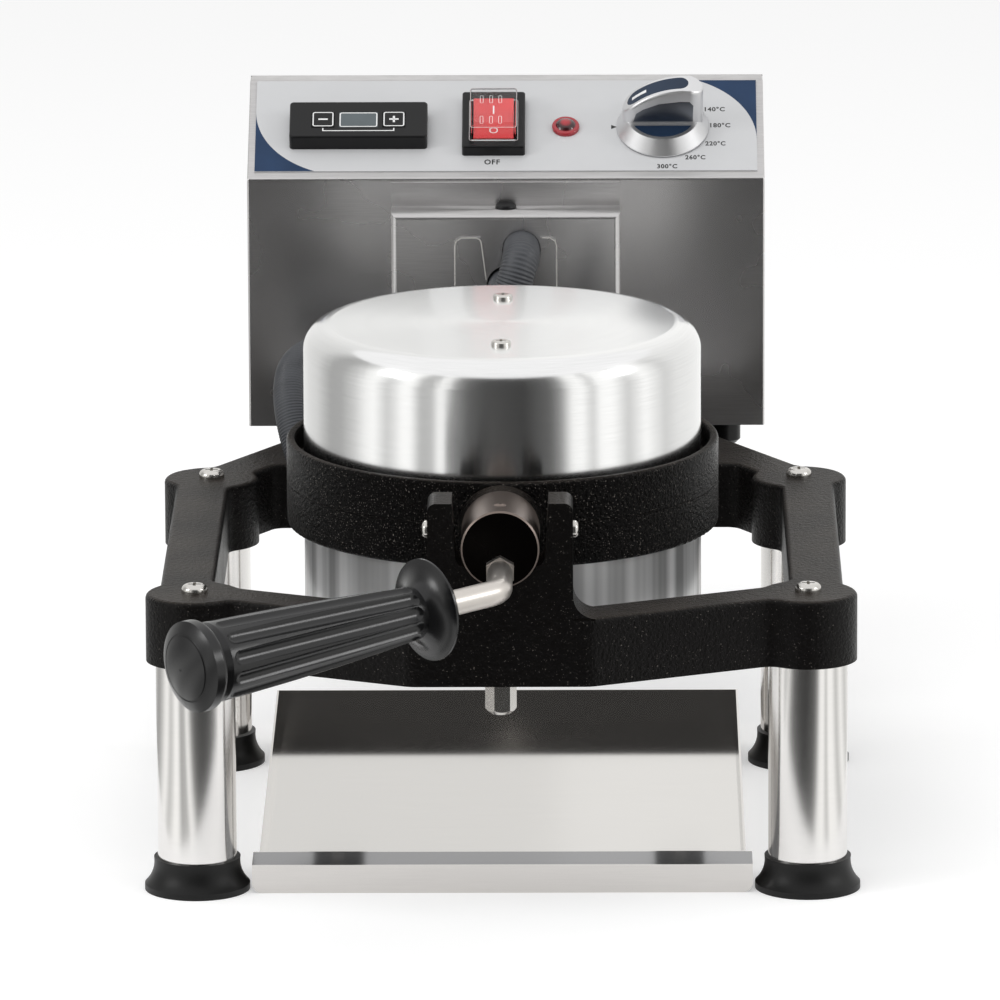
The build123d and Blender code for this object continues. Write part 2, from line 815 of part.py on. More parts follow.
def grip_profile():
    """Flange, waist and swelling body of the grip, along Z from the flange's face."""
    body_end = grip_length - cap_ball_length
    flange = grip_flange_thickness
    rim = grip_flange_radius
    outline = Polyline((0, 0), (rim - 1.5, 0), (rim, 1.5), (rim, 2.5))
    dish = ThreePointArc(
        (rim, 2.5), (grip_neck_radius + 5.5, flange + 0.6), (grip_neck_radius, flange + 6)
    )
    swell = ThreePointArc(
        (grip_neck_radius, flange + 6), ((grip_neck_radius + grip_end_radius) / 2 + 0.9, body_end * 0.5),
        (grip_end_radius, body_end - grip_shoulder),
    )
    shoulder = (grip_end_radius, body_end - grip_shoulder)
    end = Polyline(shoulder, (grip_end_radius - 1.2, body_end), (0, body_end), (0, 0))
    return make_face(Plane.XZ * (outline + dish + swell + end))


def make_grip():
    grip = revolve(grip_profile(), Axis.Z)
    body_end = grip_length - cap_ball_length
    start, end = grip_flange_thickness + flute_front, body_end - flute_rear
    taper = (grip_end_radius - grip_neck_radius) / (body_end - flute_front)
    for i in range(grip_flutes):
        turn = Rot(0, 0, (i + 0.5) * 360 / grip_flutes)
        low = grip_neck_radius + taper * start + flute_radius - flute_depth
        high = grip_neck_radius + taper * end + flute_radius - flute_depth
        path = Line((low, 0, start), (high, 0, end))
        flute = sweep(Plane((low, 0, start), z_dir=path % 0) * Circle(flute_radius), path)
        flute += Pos(low, 0, start) * Sphere(flute_radius) + Pos(high, 0, end) * Sphere(flute_radius)
        grip -= turn * flute
    return grip - post(tang_diameter / 2 + tang_clearance, 0, 0, 0, grip_length)


def make_grip_cap():
    start = grip_length - cap_ball_length
    cap = post(cap_ball_radius, 0, 0, start, grip_length)
    cap &= Pos(0, 0, grip_length - cap_dome) * Sphere(cap_dome)
    rims = cap.edges().group_by(Axis.Z)
    cap = fillet(rims[0] + rims[-1], cap_round)
    groove_z = grip_length - cap_dome + sqrt(cap_dome**2 - cap_groove_radius**2)
    cap -= Pos(0, 0, groove_z) * Torus(cap_groove_radius, cap_groove_depth)
    bore_end = tang_length + tang_end_gap
    return cap - post(tang_diameter / 2 + tang_clearance, 0, 0, start, bore_end)


save("handle_grip", grip_plane.location * make_grip())
save("grip_end_cap", grip_plane.location * make_grip_cap())


# Control housing
panel_top_y = housing_front + panel_length * cos(slope)
housing_top = housing_face_top + panel_length * sin(slope)
panel = Plane((0, housing_front, housing_face_top), x_dir=(1, 0, 0), z_dir=(0, -sin(slope), cos(slope)))


def on_panel(u, v, n=0.0):
    return panel.location * Pos(u, v, n)


def housing_block(sheet):
    """Housing's side profile, drawn in by the sheet's thickness, as a solid."""
    along = sheet * tan(slope / 2)
    face_top = housing_face_top - along
    run_y = housing_front + sheet
    top_z = housing_top - sheet
    back_y = panel_top_y + along
    profile = Polyline(
        (run_y, housing_bottom + sheet), (run_y, face_top), (back_y, top_z), (housing_rear - sheet, top_z),
        (housing_rear - sheet, housing_bottom + sheet), close=True,
    )
    body = extrude(Plane.YZ * make_face(profile), housing_width / 2 - sheet, both=True)
    folds = body.edges().filter_by(Axis.X).filter_by_position(Axis.Z, face_top - 1, housing_top)
    body = fillet(folds.filter_by_position(Axis.Y, 0, panel_top_y + merge), housing_bend - sheet)
    return body


def panel_cut(width, height, u, v, depth=8.0):
    return on_panel(u, v) * Box(width, height, depth)


def panel_drill(radius, u, v, depth=8.0):
    return on_panel(u, v) * Cylinder(radius, depth)


def panel_openings(body):
    body -= panel_cut(timer_width - 8, timer_height - 8, timer_u, timer_v)
    body -= panel_cut(switch_width - 5, switch_height - 5, switch_u, switch_v)
    body -= panel_drill(lamp_barrel, lamp_u, lamp_v)
    return body - panel_drill(shaft_radius + 1, knob_u, knob_v)


def back_screw_places():
    x = housing_width / 2 - back_screw_inset
    low, high = housing_bottom + back_screw_inset, housing_top - back_screw_inset
    return [(sx * x, z) for sx in (-1, 1) for z in (low, high)]


housing = housing_block(0)
front_corners = housing.edges().filter_by(Axis.Z).group_by(Axis.Y)[0]
housing = fillet(front_corners, housing_edge) - housing_block(housing_sheet)
rear_window = block(
    (-housing_width / 2 + back_flange, housing_rear - through, housing_bottom + back_flange),
    (housing_width / 2 - back_flange, housing_rear + through, housing_top - back_flange),
)
housing = panel_openings(housing - rear_window)
for x, z in [(upper_hose_x, upper_hose_z), (lower_hose_x, lower_hose_z)]:
    housing -= shaft(hose_bore, x, z, housing_front - 1, housing_front + through)
for x, z in back_screw_places():
    housing -= shaft(back_screw / 2, x, z, housing_rear - through, housing_rear + 1)
housing -= post(gland_neck + gland_clearance, gland_x, gland_y, housing_bottom - 1, housing_bottom + 5)
for side in (-1, 1):
    for y in housing_screw_y:
        housing -= post(back_screw / 2, side * rear_knee_x, y, housing_bottom - 1, housing_bottom + 5)
save("control_housing", housing)

back_face = housing_rear + housing_sheet
back = block((-housing_width / 2, housing_rear, housing_bottom), (housing_width / 2, back_face, housing_top))
for row in range(vent_rows):
    for side in (-1, 1):
        place = Pos(side * vent_offset, housing_rear, housing_bottom + vent_rise + row * vent_pitch)
        back -= place * Box(vent_width, through, vent_height)
back_screws = []
back_screw_shape = pan_screw(back_screw_head, back_screw_head_height, back_screw, back_screw_length)
for x, z in back_screw_places():
    back -= shaft(back_screw / 2, x, z, housing_rear - 1, housing_rear + through)
    back_screws.append(Pos(x, back_face, z) * Rot(-90, 0, 0) * back_screw_shape)
save("housing_back", back)
base_screw_length = housing_bottom - frame_bottom + back_screw_length
base_screw_shape = pan_screw(back_screw_head, back_screw_head_height, back_screw, base_screw_length)
for side in (-1, 1):
    for y in housing_screw_y:
        back_screws.append(Pos(side * rear_knee_x, y, frame_bottom) * Rot(180, 0, 0) * base_screw_shape)
save("housing_screws", *back_screws)

fascia = Box(fascia_width, panel_length - fascia_low_margin - fascia_high_margin, fascia_thickness)
fascia_v = (panel_length + fascia_low_margin - fascia_high_margin) / 2
fascia = on_panel(0, fascia_v, fascia_thickness / 2) * fascia
save("control_fascia", panel_openings(fascia))

# Cable bracket
def bracket_block(sheet):
    """Bracket's outline, drawn in by the sheet's thickness, with its folds rounded."""
    half_width, front, top = bracket_half_width - sheet, bracket_front + sheet, bracket_top - sheet
    body = block((-half_width, front, housing_bottom), (half_width, housing_front, top))
    return fillet(body.edges().group_by(Axis.Y)[0].group_by(Axis.Z)[1:], bracket_bend - sheet)


bracket = bracket_block(0) - bracket_block(bracket_sheet)
for side in (-1, 1):
    left, right = sorted((side * (bracket_half_width - bracket_flange), side * bracket_half_width))
    flange_front = housing_front - bracket_sheet
    bracket += block((left, flange_front, housing_bottom), (right, housing_front, bracket_top))
upstand_top = bracket_top + bracket_flange_rise
bracket += block(
    (-bracket_half_width, housing_front - bracket_sheet, bracket_top - merge),
    (bracket_half_width, housing_front, upstand_top),
)
bracket -= post(plug_radius - 1, 0, housing_front - plug_inset, bracket_top - through, bracket_top + 1)
notch_front = bracket_front - notch_sheet
notch = block((-notch_half_width, notch_front, notch_bottom), (notch_half_width, bracket_front, notch_top))
notch = fillet(notch.edges().filter_by(Axis.Y).group_by(Axis.Z)[-1], notch_round)
hose_hole = hose_radius + hole_clearance
for x, z in [(upper_hose_x, upper_hose_z), (lower_hose_x, lower_hose_z)]:
    bracket -= shaft(hose_hole, x, z, notch_front - through, bracket_front + through)
    notch -= shaft(hose_hole, x, z, notch_front - through, bracket_front + through)
notch_face = Plane.XZ * make_face(
    Polyline(
        (lower_hose_x - hose_hole - 3, notch_top + 1), (lower_hose_x - hose_hole, lower_hose_z),
        (lower_hose_x + hose_hole, lower_hose_z), (upper_hose_x + hose_hole, notch_top + 1), close=True,
    )
)
notch -= Pos(0, bracket_front, 0) * extrude(notch_face, 2 * notch_sheet, both=True)
save("support_bracket", bracket)
save("notch_plate", notch)
plug_place = Pos(0, housing_front - plug_inset, bracket_top)
plug = Cylinder(plug_radius, plug_height, align=(Align.CENTER, Align.CENTER, Align.MIN))
plug = fillet(plug.edges().group_by(Axis.Z)[-1], plug_height * 0.7)
plug += Cylinder(plug_radius - 1, 2 * bracket_sheet)
save("bracket_plug", plug_place * plug)


# Timer
def timer_box():
    box = Box(timer_width, timer_height, timer_thickness, align=(Align.CENTER, Align.CENTER, Align.MIN))
    box = fillet(box.edges().filter_by(Axis.Z), timer_round)
    box = fillet(box.edges().group_by(Axis.Z)[-1], 1.0)
    back_box = Pos(0, 0, -timer_back_depth / 2) * Box(timer_width - 9, timer_height - 9, timer_back_depth)
    box += back_box
    well = button_travel + 2.4
    for side in (-1, 1):
        pocket = Box(button_width + 2 * button_clearance, button_height + 2 * button_clearance, 2 * well)
        box -= Pos(side * button_u, button_v, timer_thickness) * pocket
    return box - Pos(0, button_v, timer_thickness) * Box(display_width, display_height, 1.6)


panel_skin = fascia_thickness
save("timer_case", on_panel(timer_u, timer_v, panel_skin) * timer_box())
display = Pos(0, button_v, timer_thickness - 0.4) * Box(display_width, display_height, 0.8)
save("timer_display", on_panel(timer_u, timer_v, panel_skin) * display)
key = Box(button_width, button_height, 2.0 + button_proud, align=(Align.CENTER, Align.CENTER, Align.MAX))
key = fillet(key.edges().group_by(Axis.Z)[-1], 0.4)
for name, side in [("minus_button", -1), ("plus_button", 1)]:
    place = Pos(side * button_u, button_v, timer_thickness + button_proud)
    save(name, on_panel(timer_u, timer_v, panel_skin) * place * key)

# Mains switch
well_width = switch_width - 2 * switch_wall
well_height = switch_height - 2 * switch_end_wall
well_v = switch_v - switch_well_drop
switch_frame = Box(switch_width, switch_height, switch_rim, align=(Align.CENTER, Align.CENTER, Align.MIN))
switch_frame = fillet(switch_frame.edges().filter_by(Axis.Z), 1.5)
switch_frame = fillet(switch_frame.edges().group_by(Axis.Z)[-1], 1.0)
switch_body = Pos(0, 0, -switch_depth / 2) * Box(switch_width - 6, switch_height - 6, switch_depth)
switch_frame += switch_body
switch_frame -= Pos(0, -switch_well_drop, switch_rim) * Box(well_width, well_height, 2 * (switch_rim + 7))
pivot = switch_rim - rocker_drop
axle_length = well_width + 2 * rocker_pin_depth
axle_bore = axle_length + 2 * rocker_pin_end_gap
axle_hole = cross_pin(rocker_pin + rocker_pin_clearance, 0, pivot, -axle_bore / 2, axle_bore / 2)
switch_frame -= Pos(0, -switch_well_drop, 0) * axle_hole
save("switch_frame", on_panel(switch_u, switch_v, panel_skin) * switch_frame)
rocker_width = well_width - 2 * rocker_clearance
rocker_half = well_height / 2 - 1.6
rocker_face = make_face(
    Plane.YZ * Polyline(
        (-rocker_half, rocker_rise + 4), (0, rocker_rise + 1.3), (rocker_half, rocker_rise + 4.6),
        (rocker_half - 1.5, 0.5), (3, -2.4), (-3, -2.4), (-rocker_half + 1.5, 0.5), close=True,
    )
)
rocker = extrude(rocker_face, rocker_width / 2, both=True)
rocker += cross_pin(rocker_pin, 0, 0, -axle_length / 2, axle_length / 2)
rocker_place = on_panel(switch_u, well_v, panel_skin + pivot) * Rot(rocker_swing / 2, 0, 0)
save("switch_rocker", rocker_place * rocker)
splash = Box(splash_width, splash_length, splash_rise, align=(Align.CENTER, Align.CENTER, Align.MIN))
splash = fillet(splash.edges().filter_by(Axis.Z), 1.5)
splash = fillet(splash.edges().group_by(Axis.Z)[-1], 1.2)
splash_inner = Box(
    splash_width - 2 * splash_wall, splash_length - 2 * splash_wall, splash_rise - splash_wall,
    align=(Align.CENTER, Align.CENTER, Align.MIN),
)
save("switch_cover", on_panel(switch_u, well_v, panel_skin + switch_rim) * (splash - splash_inner))

# Pilot lamp
lamp = Cylinder(lamp_radius, lamp_rim, align=(Align.CENTER, Align.CENTER, Align.MIN))
lamp = fillet(lamp.edges().group_by(Axis.Z)[-1], 1.0)
lens_sphere = (lamp_dome**2 + (lamp_radius - 2) ** 2) / (2 * lamp_dome)
lens = Pos(0, 0, lamp_rim + lamp_dome - lens_sphere) * Sphere(lens_sphere)
lens &= Pos(0, 0, lamp_rim + lamp_dome / 2 - 0.5) * Cylinder(lamp_radius - 2, lamp_dome + 1)
lamp = lamp + lens + Pos(0, 0, -lamp_depth / 2) * Cylinder(lamp_barrel - 0.2, lamp_depth)
save("pilot_lamp", on_panel(lamp_u, lamp_v, panel_skin) * lamp)

# Thermostat and knob
knob_lift = panel_skin + knob_gap
knob = Cone(knob_radius, knob_top_radius, knob_skirt, align=(Align.CENTER, Align.CENTER, Align.MIN))
knob = fillet(knob.edges().group_by(Axis.Z)[0], 0.6)
bar_half = knob_bar_length / 2
bar_root = knob_skirt / 3
bar_nose, bar_crest = (-bar_half, knob_nose), (knob_crest_u, knob_crest)
bar_top = ThreePointArc(bar_nose, (knob_bulge_u, knob_bulge), bar_crest)
bar_sides = Polyline(
    bar_crest, (bar_half, knob_crest - knob_tail_drop), (bar_half, bar_root), (-bar_half, bar_root), bar_nose
)
knob_bar = extrude(Plane.XZ * make_face(bar_top + bar_sides), knob_bar_width / 2, both=True)
knob_bar &= extrude(SlotOverall(knob_bar_length, knob_bar_width), 2 * knob_crest)
bar_rims = knob_bar.edges().filter_by(lambda edge: edge.bounding_box().min.Z > bar_root + 1)
bar_rims = bar_rims - bar_rims.filter_by(Axis.Z) - bar_rims.filter_by(Axis.Y)
knob_bar = fillet(bar_rims, knob_bar_round)
knob += knob_bar
band = Pos(-inlay_shift, 0, 0) * extrude(SlotOverall(inlay_length, inlay_width), 2 * knob_crest)
inlay = (knob_bar & band) - Pos(0, 0, -inlay_depth) * knob_bar
disc_ring = Cylinder(knob_top_radius - 2, inlay_depth) - Box(
    knob_bar_length + 2, knob_bar_width + 2 * disc_gap, 4
)
discs = [Pos(0, 0, knob_skirt - inlay_depth / 2) * disc for disc in disc_ring.solids()]
for piece in [inlay] + discs:
    knob -= piece
knob -= Cylinder(shaft_radius, 2 * (knob_skirt + 2))
knob_place = on_panel(knob_u, knob_v, knob_lift)
save("knob", knob_place * knob)
save("knob_inlay", *[knob_place * piece for piece in [inlay] + discs])
stem = Cylinder(
    shaft_radius, knob_lift + knob_skirt + 2 + housing_sheet + shaft_depth,
    align=(Align.CENTER, Align.CENTER, Align.MIN),
)
save("thermostat_shaft", on_panel(knob_u, knob_v, -housing_sheet - shaft_depth) * stem)
thermostat = Cylinder(thermostat_radius, thermostat_depth, align=(Align.CENTER, Align.CENTER, Align.MAX))
thermostat -= Cylinder(shaft_radius + shaft_clearance, 2 * (shaft_depth + shaft_gap))
save("thermostat_body", on_panel(knob_u, knob_v, -housing_sheet) * thermostat)

# Terminal block inside and mains gland below
terminal_front = housing_front + housing_sheet + terminal_gap
terminals = block(
    (-terminal_width / 2, terminal_front, housing_bottom + housing_sheet),
    (terminal_width / 2, terminal_front + terminal_depth, housing_bottom + housing_sheet + terminal_height),
)
terminal_top = housing_bottom + housing_sheet + terminal_height
for i in range(terminal_ways):
    x = (i + 0.5 - terminal_ways / 2) * terminal_width / terminal_ways
    y = terminal_front + terminal_depth / 2
    terminals -= post(terminal_hole, x, y, terminal_top - terminal_hole_depth, terminal_top)
save("terminal_block", terminals)
gland = post(gland_radius, gland_x, gland_y, housing_bottom - gland_length, housing_bottom)
gland = chamfer(gland.edges().group_by(Axis.Z)[0], gland_chamfer)
gland_top = housing_bottom + gland_neck_length
gland += post(gland_neck, gland_x, gland_y, housing_bottom, gland_top)
gland -= post(gland_bore, gland_x, gland_y, housing_bottom - gland_length, gland_top)
save("mains_gland", gland)


# Drip tray
def make_tray():
    half_width = tray_width / 2
    inner_front = tray_front + tray_lip_depth
    tray = block((-half_width, inner_front, 0), (half_width, tray_rear, tray_rear_wall))
    tray -= block(
        (-half_width + tray_sheet, inner_front + tray_sheet, tray_sheet),
        (half_width - tray_sheet, tray_rear - tray_sheet, tray_rear_wall + 1),
    )
    low_end, high_end = (inner_front - 1, tray_wall), (tray_rear - tray_sheet, tray_rear_wall)
    slant = make_face(Polyline(low_end, high_end, (inner_front - 1, 2 * tray_rear_wall), close=True))
    tray -= extrude(Plane.YZ * slant, half_width + 1, both=True)
    lip_rear = inner_front + tray_sheet
    tray += block((-half_width, inner_front, 0), (half_width, lip_rear, tray_wall))
    lip = block((-tray_lip_width / 2, tray_front, 0), (tray_lip_width / 2, lip_rear, tray_wall))
    lip -= block(
        (-tray_lip_width / 2 - 1, tray_front + tray_sheet, -1),
        (tray_lip_width / 2 + 1, inner_front, tray_wall - tray_sheet),
    )
    face_edges = lip.edges().filter_by(Axis.Y).group_by(Axis.Y)[0]
    lip = fillet(face_edges.group_by(Axis.Z)[0], tray_corner)
    return tray + lip


save("drip_tray", make_tray())


# Conduits
def hose_route(points):
    """Straight runs joined by tangent arcs, each as large as its runs allow."""
    points = [Vector(*p) for p in points]
    radii = []
    for a, b, c in zip(points, points[1:], points[2:]):
        turn = radians((b - a).get_angle(c - b))
        shorter = min((b - a).length, (c - b).length)
        radii.append(min(hose_ease, 0.45 * shorter / tan(turn / 2)))
    print("bends", [round(r, 1) for r in radii])
    return FilletPolyline(*points, radius=radii)


def ribbed_hose(route, radius, bore):
    """Hollow hose with rounded ribs between two plain ends."""
    length = route.length
    valley = radius - hose_rib
    count = int((length - 4 * radius) / hose_pitch)
    start = (length - count * hose_pitch) / 2
    stations = [(0, valley)]
    for i in range(count):
        at = start + i * hose_pitch
        for share, size in [(0.05, valley), (0.3, radius), (0.65, radius), (0.9, valley)]:
            stations.append((at + share * hose_pitch, size))
    stations.append((length, valley))
    planes = [
        Plane(route.position_at(at / length), x_dir=hose_steady, z_dir=route.tangent_at(at / length))
        for at, size in stations
    ]
    outside = [Edge.make_circle(size, plane) for plane, (at, size) in zip(planes, stations)]
    inside = [Edge.make_circle(bore, plane) for plane in planes]
    walls = [
        Face.make_surface_from_curves(first, second)
        for rings in (outside, inside) for first, second in zip(rings, rings[1:])
    ]
    ends = [(plane * (Circle(valley) - Circle(bore))).face() for plane in (planes[0], planes[-1])]
    return Solid(Shell(walls + ends))


def check_volume(hose, route, radius, bore):
    expected = route.length * pi * ((radius - hose_rib / 2) ** 2 - bore**2)
    print("hose length", round(route.length, 1), "volume ratio", round(hose.volume / expected, 3))


lower_gland = gland_plane(lower_gland_angle, -lower_gland_drop)
upper_gland = upper_spigot_plane
upper_route = hose_route(
    [
        (upper_hose_x, housing_front, upper_hose_z), (upper_hose_x, 179, upper_hose_z), (-4, 182, 204.5),
        (-37, 180, 191), (-36, 148, axis_z), (-hose_ear_x, 134, axis_z), (-hose_ear_x, block_rear, axis_z),
    ]
)
gland_run = lower_gland.origin + lower_gland.z_dir * lower_gland_run
lower_route = hose_route(
    [
        (lower_hose_x, housing_front, lower_hose_z), (lower_hose_x, 196.5, lower_hose_z),
        (-46, 189, 217), (-86, 160, 206), (-97, 124, 178), (-90, 104, 146), gland_run, lower_gland.origin,
    ]
)
jumper_run = upper_gland.origin + upper_gland.z_dir * upper_gland_run
jumper_route = hose_route(
    [
        (hose_ear_x, block_rear, axis_z), (hose_ear_x, 143, axis_z), (38, 142, 214),
        (46, 108, upper_gland.origin.Z + 3), jumper_run, upper_gland.origin,
    ]
)
for name, route, radius, bore in [
    ("upper_feed_hose", upper_route, hose_radius, hose_bore),
    ("lower_feed_hose", lower_route, hose_radius, hose_bore),
    ("lid_jumper_hose", jumper_route, jumper_radius, jumper_bore),
]:
    hose = ribbed_hose(route, radius, bore)
    check_volume(hose, route, radius, bore)
    save(name, hose)
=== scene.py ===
import json
import math
import bmesh
import bpy
from mathutils import Matrix, Vector


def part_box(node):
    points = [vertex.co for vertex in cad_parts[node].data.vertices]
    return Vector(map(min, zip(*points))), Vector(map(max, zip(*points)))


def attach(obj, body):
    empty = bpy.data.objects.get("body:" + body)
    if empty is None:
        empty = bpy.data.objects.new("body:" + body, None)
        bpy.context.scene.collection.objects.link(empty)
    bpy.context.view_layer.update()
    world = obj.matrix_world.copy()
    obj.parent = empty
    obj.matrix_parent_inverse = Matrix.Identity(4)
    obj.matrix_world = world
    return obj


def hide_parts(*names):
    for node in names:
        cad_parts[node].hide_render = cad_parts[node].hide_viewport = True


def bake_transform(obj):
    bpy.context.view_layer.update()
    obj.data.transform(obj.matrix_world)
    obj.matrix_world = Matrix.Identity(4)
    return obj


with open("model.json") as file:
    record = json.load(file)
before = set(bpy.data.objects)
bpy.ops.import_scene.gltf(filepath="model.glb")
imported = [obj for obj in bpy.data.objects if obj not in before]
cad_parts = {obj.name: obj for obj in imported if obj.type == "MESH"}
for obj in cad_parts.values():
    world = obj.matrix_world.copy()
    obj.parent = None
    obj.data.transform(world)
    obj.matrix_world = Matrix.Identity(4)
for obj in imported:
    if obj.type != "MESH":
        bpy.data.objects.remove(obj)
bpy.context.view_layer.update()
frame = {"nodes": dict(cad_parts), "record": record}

nodes = frame["nodes"]
mm = 0.001
print("frame loaded:", len(nodes), "nodes")


# camera, fitted to the legs, the feet and the housing
camera = {"lens": 396, "sensor": 36, "clipEnd": 60, "place": (0.0459, -5.2258, 1.3814),
          "pitch": 13.13, "yaw": -0.52, "roll": -0.25}


def makeCamera():
    pitch, yaw, roll = (math.radians(camera[k]) for k in ("pitch", "yaw", "roll"))
    ahead = Vector((math.sin(yaw) * math.cos(pitch), math.cos(yaw) * math.cos(pitch), -math.sin(pitch)))
    right = Vector((math.cos(yaw), -math.sin(yaw), 0))
    up = right.cross(ahead)
    tiltedRight = right * math.cos(roll) + up * math.sin(roll)
    tiltedUp = up * math.cos(roll) - right * math.sin(roll)
    data = bpy.data.cameras.new("photoCamera")
    data.lens, data.sensor_width, data.clip_end = camera["lens"], camera["sensor"], camera["clipEnd"]
    obj = bpy.data.objects.new("photoCamera", data)
    turn = Matrix((tiltedRight, tiltedUp, -ahead)).transposed().to_4x4()
    obj.matrix_world = Matrix.Translation(camera["place"]) @ turn
    bpy.context.scene.collection.objects.link(obj)
    bpy.context.scene.camera = obj


makeCamera()


# node helpers
def wire(tree, kind, inputs=None, **settings):
    node = tree.nodes.new(kind)
    for key, value in settings.items():
        setattr(node, key, value)
    for key, value in (inputs or {}).items():
        if isinstance(value, bpy.types.NodeSocket):
            tree.links.new(value, node.inputs[key])
        else:
            node.inputs[key].default_value = value
    return node


def newMaterial(name, colour, roughness, metallic=0.0, **sockets):
    material = bpy.data.materials.new(name)
    material.use_nodes = True
    tree = material.node_tree
    shader = tree.nodes["Principled BSDF"]
    shader.inputs["Base Color"].default_value = (*colour, 1)
    shader.inputs["Roughness"].default_value = roughness
    shader.inputs["Metallic"].default_value = metallic
    for key, value in sockets.items():
        shader.inputs[key.replace("_", " ")].default_value = value
    return material, tree, shader


def objectNoise(tree, scale, detail=3.0, stretch=(1, 1, 1), rough=0.5):
    place = wire(tree, "ShaderNodeTexCoord").outputs["Object"]
    mapped = wire(tree, "ShaderNodeMapping", {"Vector": place, "Scale": stretch})
    return wire(tree, "ShaderNodeTexNoise", {
        "Vector": mapped.outputs["Vector"], "Scale": scale, "Detail": detail, "Roughness": rough,
    }).outputs["Fac"]


def spread(tree, value, low, high, fromLow=0.3, fromHigh=0.7):
    return wire(tree, "ShaderNodeMapRange", {
        "Value": value, "From Min": fromLow, "From Max": fromHigh, "To Min": low, "To Max": high,
    }).outputs["Result"]


def maths(tree, operation, first, second=0.5):
    return wire(tree, "ShaderNodeMath", {0: first, 1: second}, operation=operation).outputs[0]


def placeParts(tree):
    return wire(tree, "ShaderNodeSeparateXYZ", {0: wire(tree, "ShaderNodeTexCoord").outputs["Object"]}).outputs


def facingParts(tree):
    return wire(tree, "ShaderNodeSeparateXYZ", {0: wire(tree, "ShaderNodeNewGeometry").outputs["Normal"]}).outputs


def mixValues(tree, share, first, second):
    return wire(tree, "ShaderNodeMix", {"Factor": share, "A": first, "B": second}).outputs["Result"]


def twoTone(tree, value, dark, light):
    mix = wire(tree, "ShaderNodeMix", {"Factor": value}, data_type="RGBA")
    mix.inputs[6].default_value = (*dark, 1)
    mix.inputs[7].default_value = (*light, 1)
    return mix.outputs[2]


def overlay(tree, share, under, colour):
    # one colour laid over what a colour socket gives
    mix = wire(tree, "ShaderNodeMix", {"Factor": share}, data_type="RGBA")
    tree.links.new(under, mix.inputs[6])
    mix.inputs[7].default_value = (*colour, 1)
    return mix.outputs[2]


def varied(colour, share):
    # a colour made a share darker and the same share lighter
    return [c * (1 - share) for c in colour], [min(1, c * (1 + share)) for c in colour]


def bumps(tree, shader, layers):
    normal = None
    for height, strength, distance in layers:
        inputs = {"Height": height, "Strength": strength, "Distance": distance}
        if normal is not None:
            inputs["Normal"] = normal
        normal = wire(tree, "ShaderNodeBump", inputs).outputs["Normal"]
    tree.links.new(normal, shader.inputs["Normal"])


# floor, studio wall and lamps
studio = {
    "floorColour": (0.82, 0.82, 0.82), "floorGlow": 0.32, "floorReach": 30, "skyStrength": 0.62,
    "wallRadius": 7.0, "wallHeight": 6.0, "wallSteps": 180, "matInner": 0.30, "matHeight": 0.001,
    "mirrorStrength": 1.1, "mirrorBlue": 0.985,
    # what the metal mirrors: degrees round from the camera side, then brightness
    "strips": [
        (-180, 0.85), (-130, 0.65), (-112, 0.38), (-101, 0.40), (-90, 0.60), (-81, 0.90), (-75, 1.0), (-66, 0.60),
        (-61, 0.75), (-56, 1.0), (-51, 1.0), (-45, 0.46), (-38, 0.50), (-34, 1.0), (-30, 0.85), (-25, 0.28),
        (-18, 0.12), (-8, 0.07), (12, 0.05), (27, 0.12), (33, 0.30), (39, 0.95), (45, 1.0), (51, 0.60),
        (56, 1.0), (64, 1.0), (74, 0.58), (87, 1.0), (104, 0.64), (118, 0.78), (180, 0.95),
    ],
}


def makeStage():
    world = bpy.data.worlds.new("softStudio")
    bpy.context.scene.world = world
    world.use_nodes = True
    tree = world.node_tree
    rays = wire(tree, "ShaderNodeLightPath")
    seen = maths(tree, "MAXIMUM", rays.outputs["Is Camera Ray"], rays.outputs["Is Glossy Ray"])
    seen = maths(tree, "MAXIMUM", seen, rays.outputs["Is Transmission Ray"])
    strength = spread(tree, seen, studio["skyStrength"], 1.0, 0, 1)
    tree.links.new(strength, tree.nodes["Background"].inputs["Strength"])
    tree.nodes["Background"].inputs["Color"].default_value = (1, 1, 1, 1)

    floorMesh = bpy.data.meshes.new("floor")
    reach = studio["floorReach"]
    corners = [(-reach, -reach, 0), (reach, -reach, 0), (reach, reach, 0), (-reach, reach, 0)]
    floorMesh.from_pydata(corners, [], [(0, 1, 2, 3)])
    floor = bpy.data.objects.new("floor", floorMesh)
    bpy.context.scene.collection.objects.link(floor)
    material, tree, shader = newMaterial("paleFloor", studio["floorColour"], 0.9, Specular_IOR_Level=0.0)
    rays = wire(tree, "ShaderNodeLightPath")
    seen = maths(tree, "MAXIMUM", rays.outputs["Is Camera Ray"], rays.outputs["Is Glossy Ray"])
    glow = spread(tree, seen, 0, studio["floorGlow"], 0, 1)
    shader.inputs["Emission Color"].default_value = (1, 1, 1, 1)
    tree.links.new(glow, shader.inputs["Emission Strength"])
    floorMesh.materials.append(material)
    makeMirroredRoom()


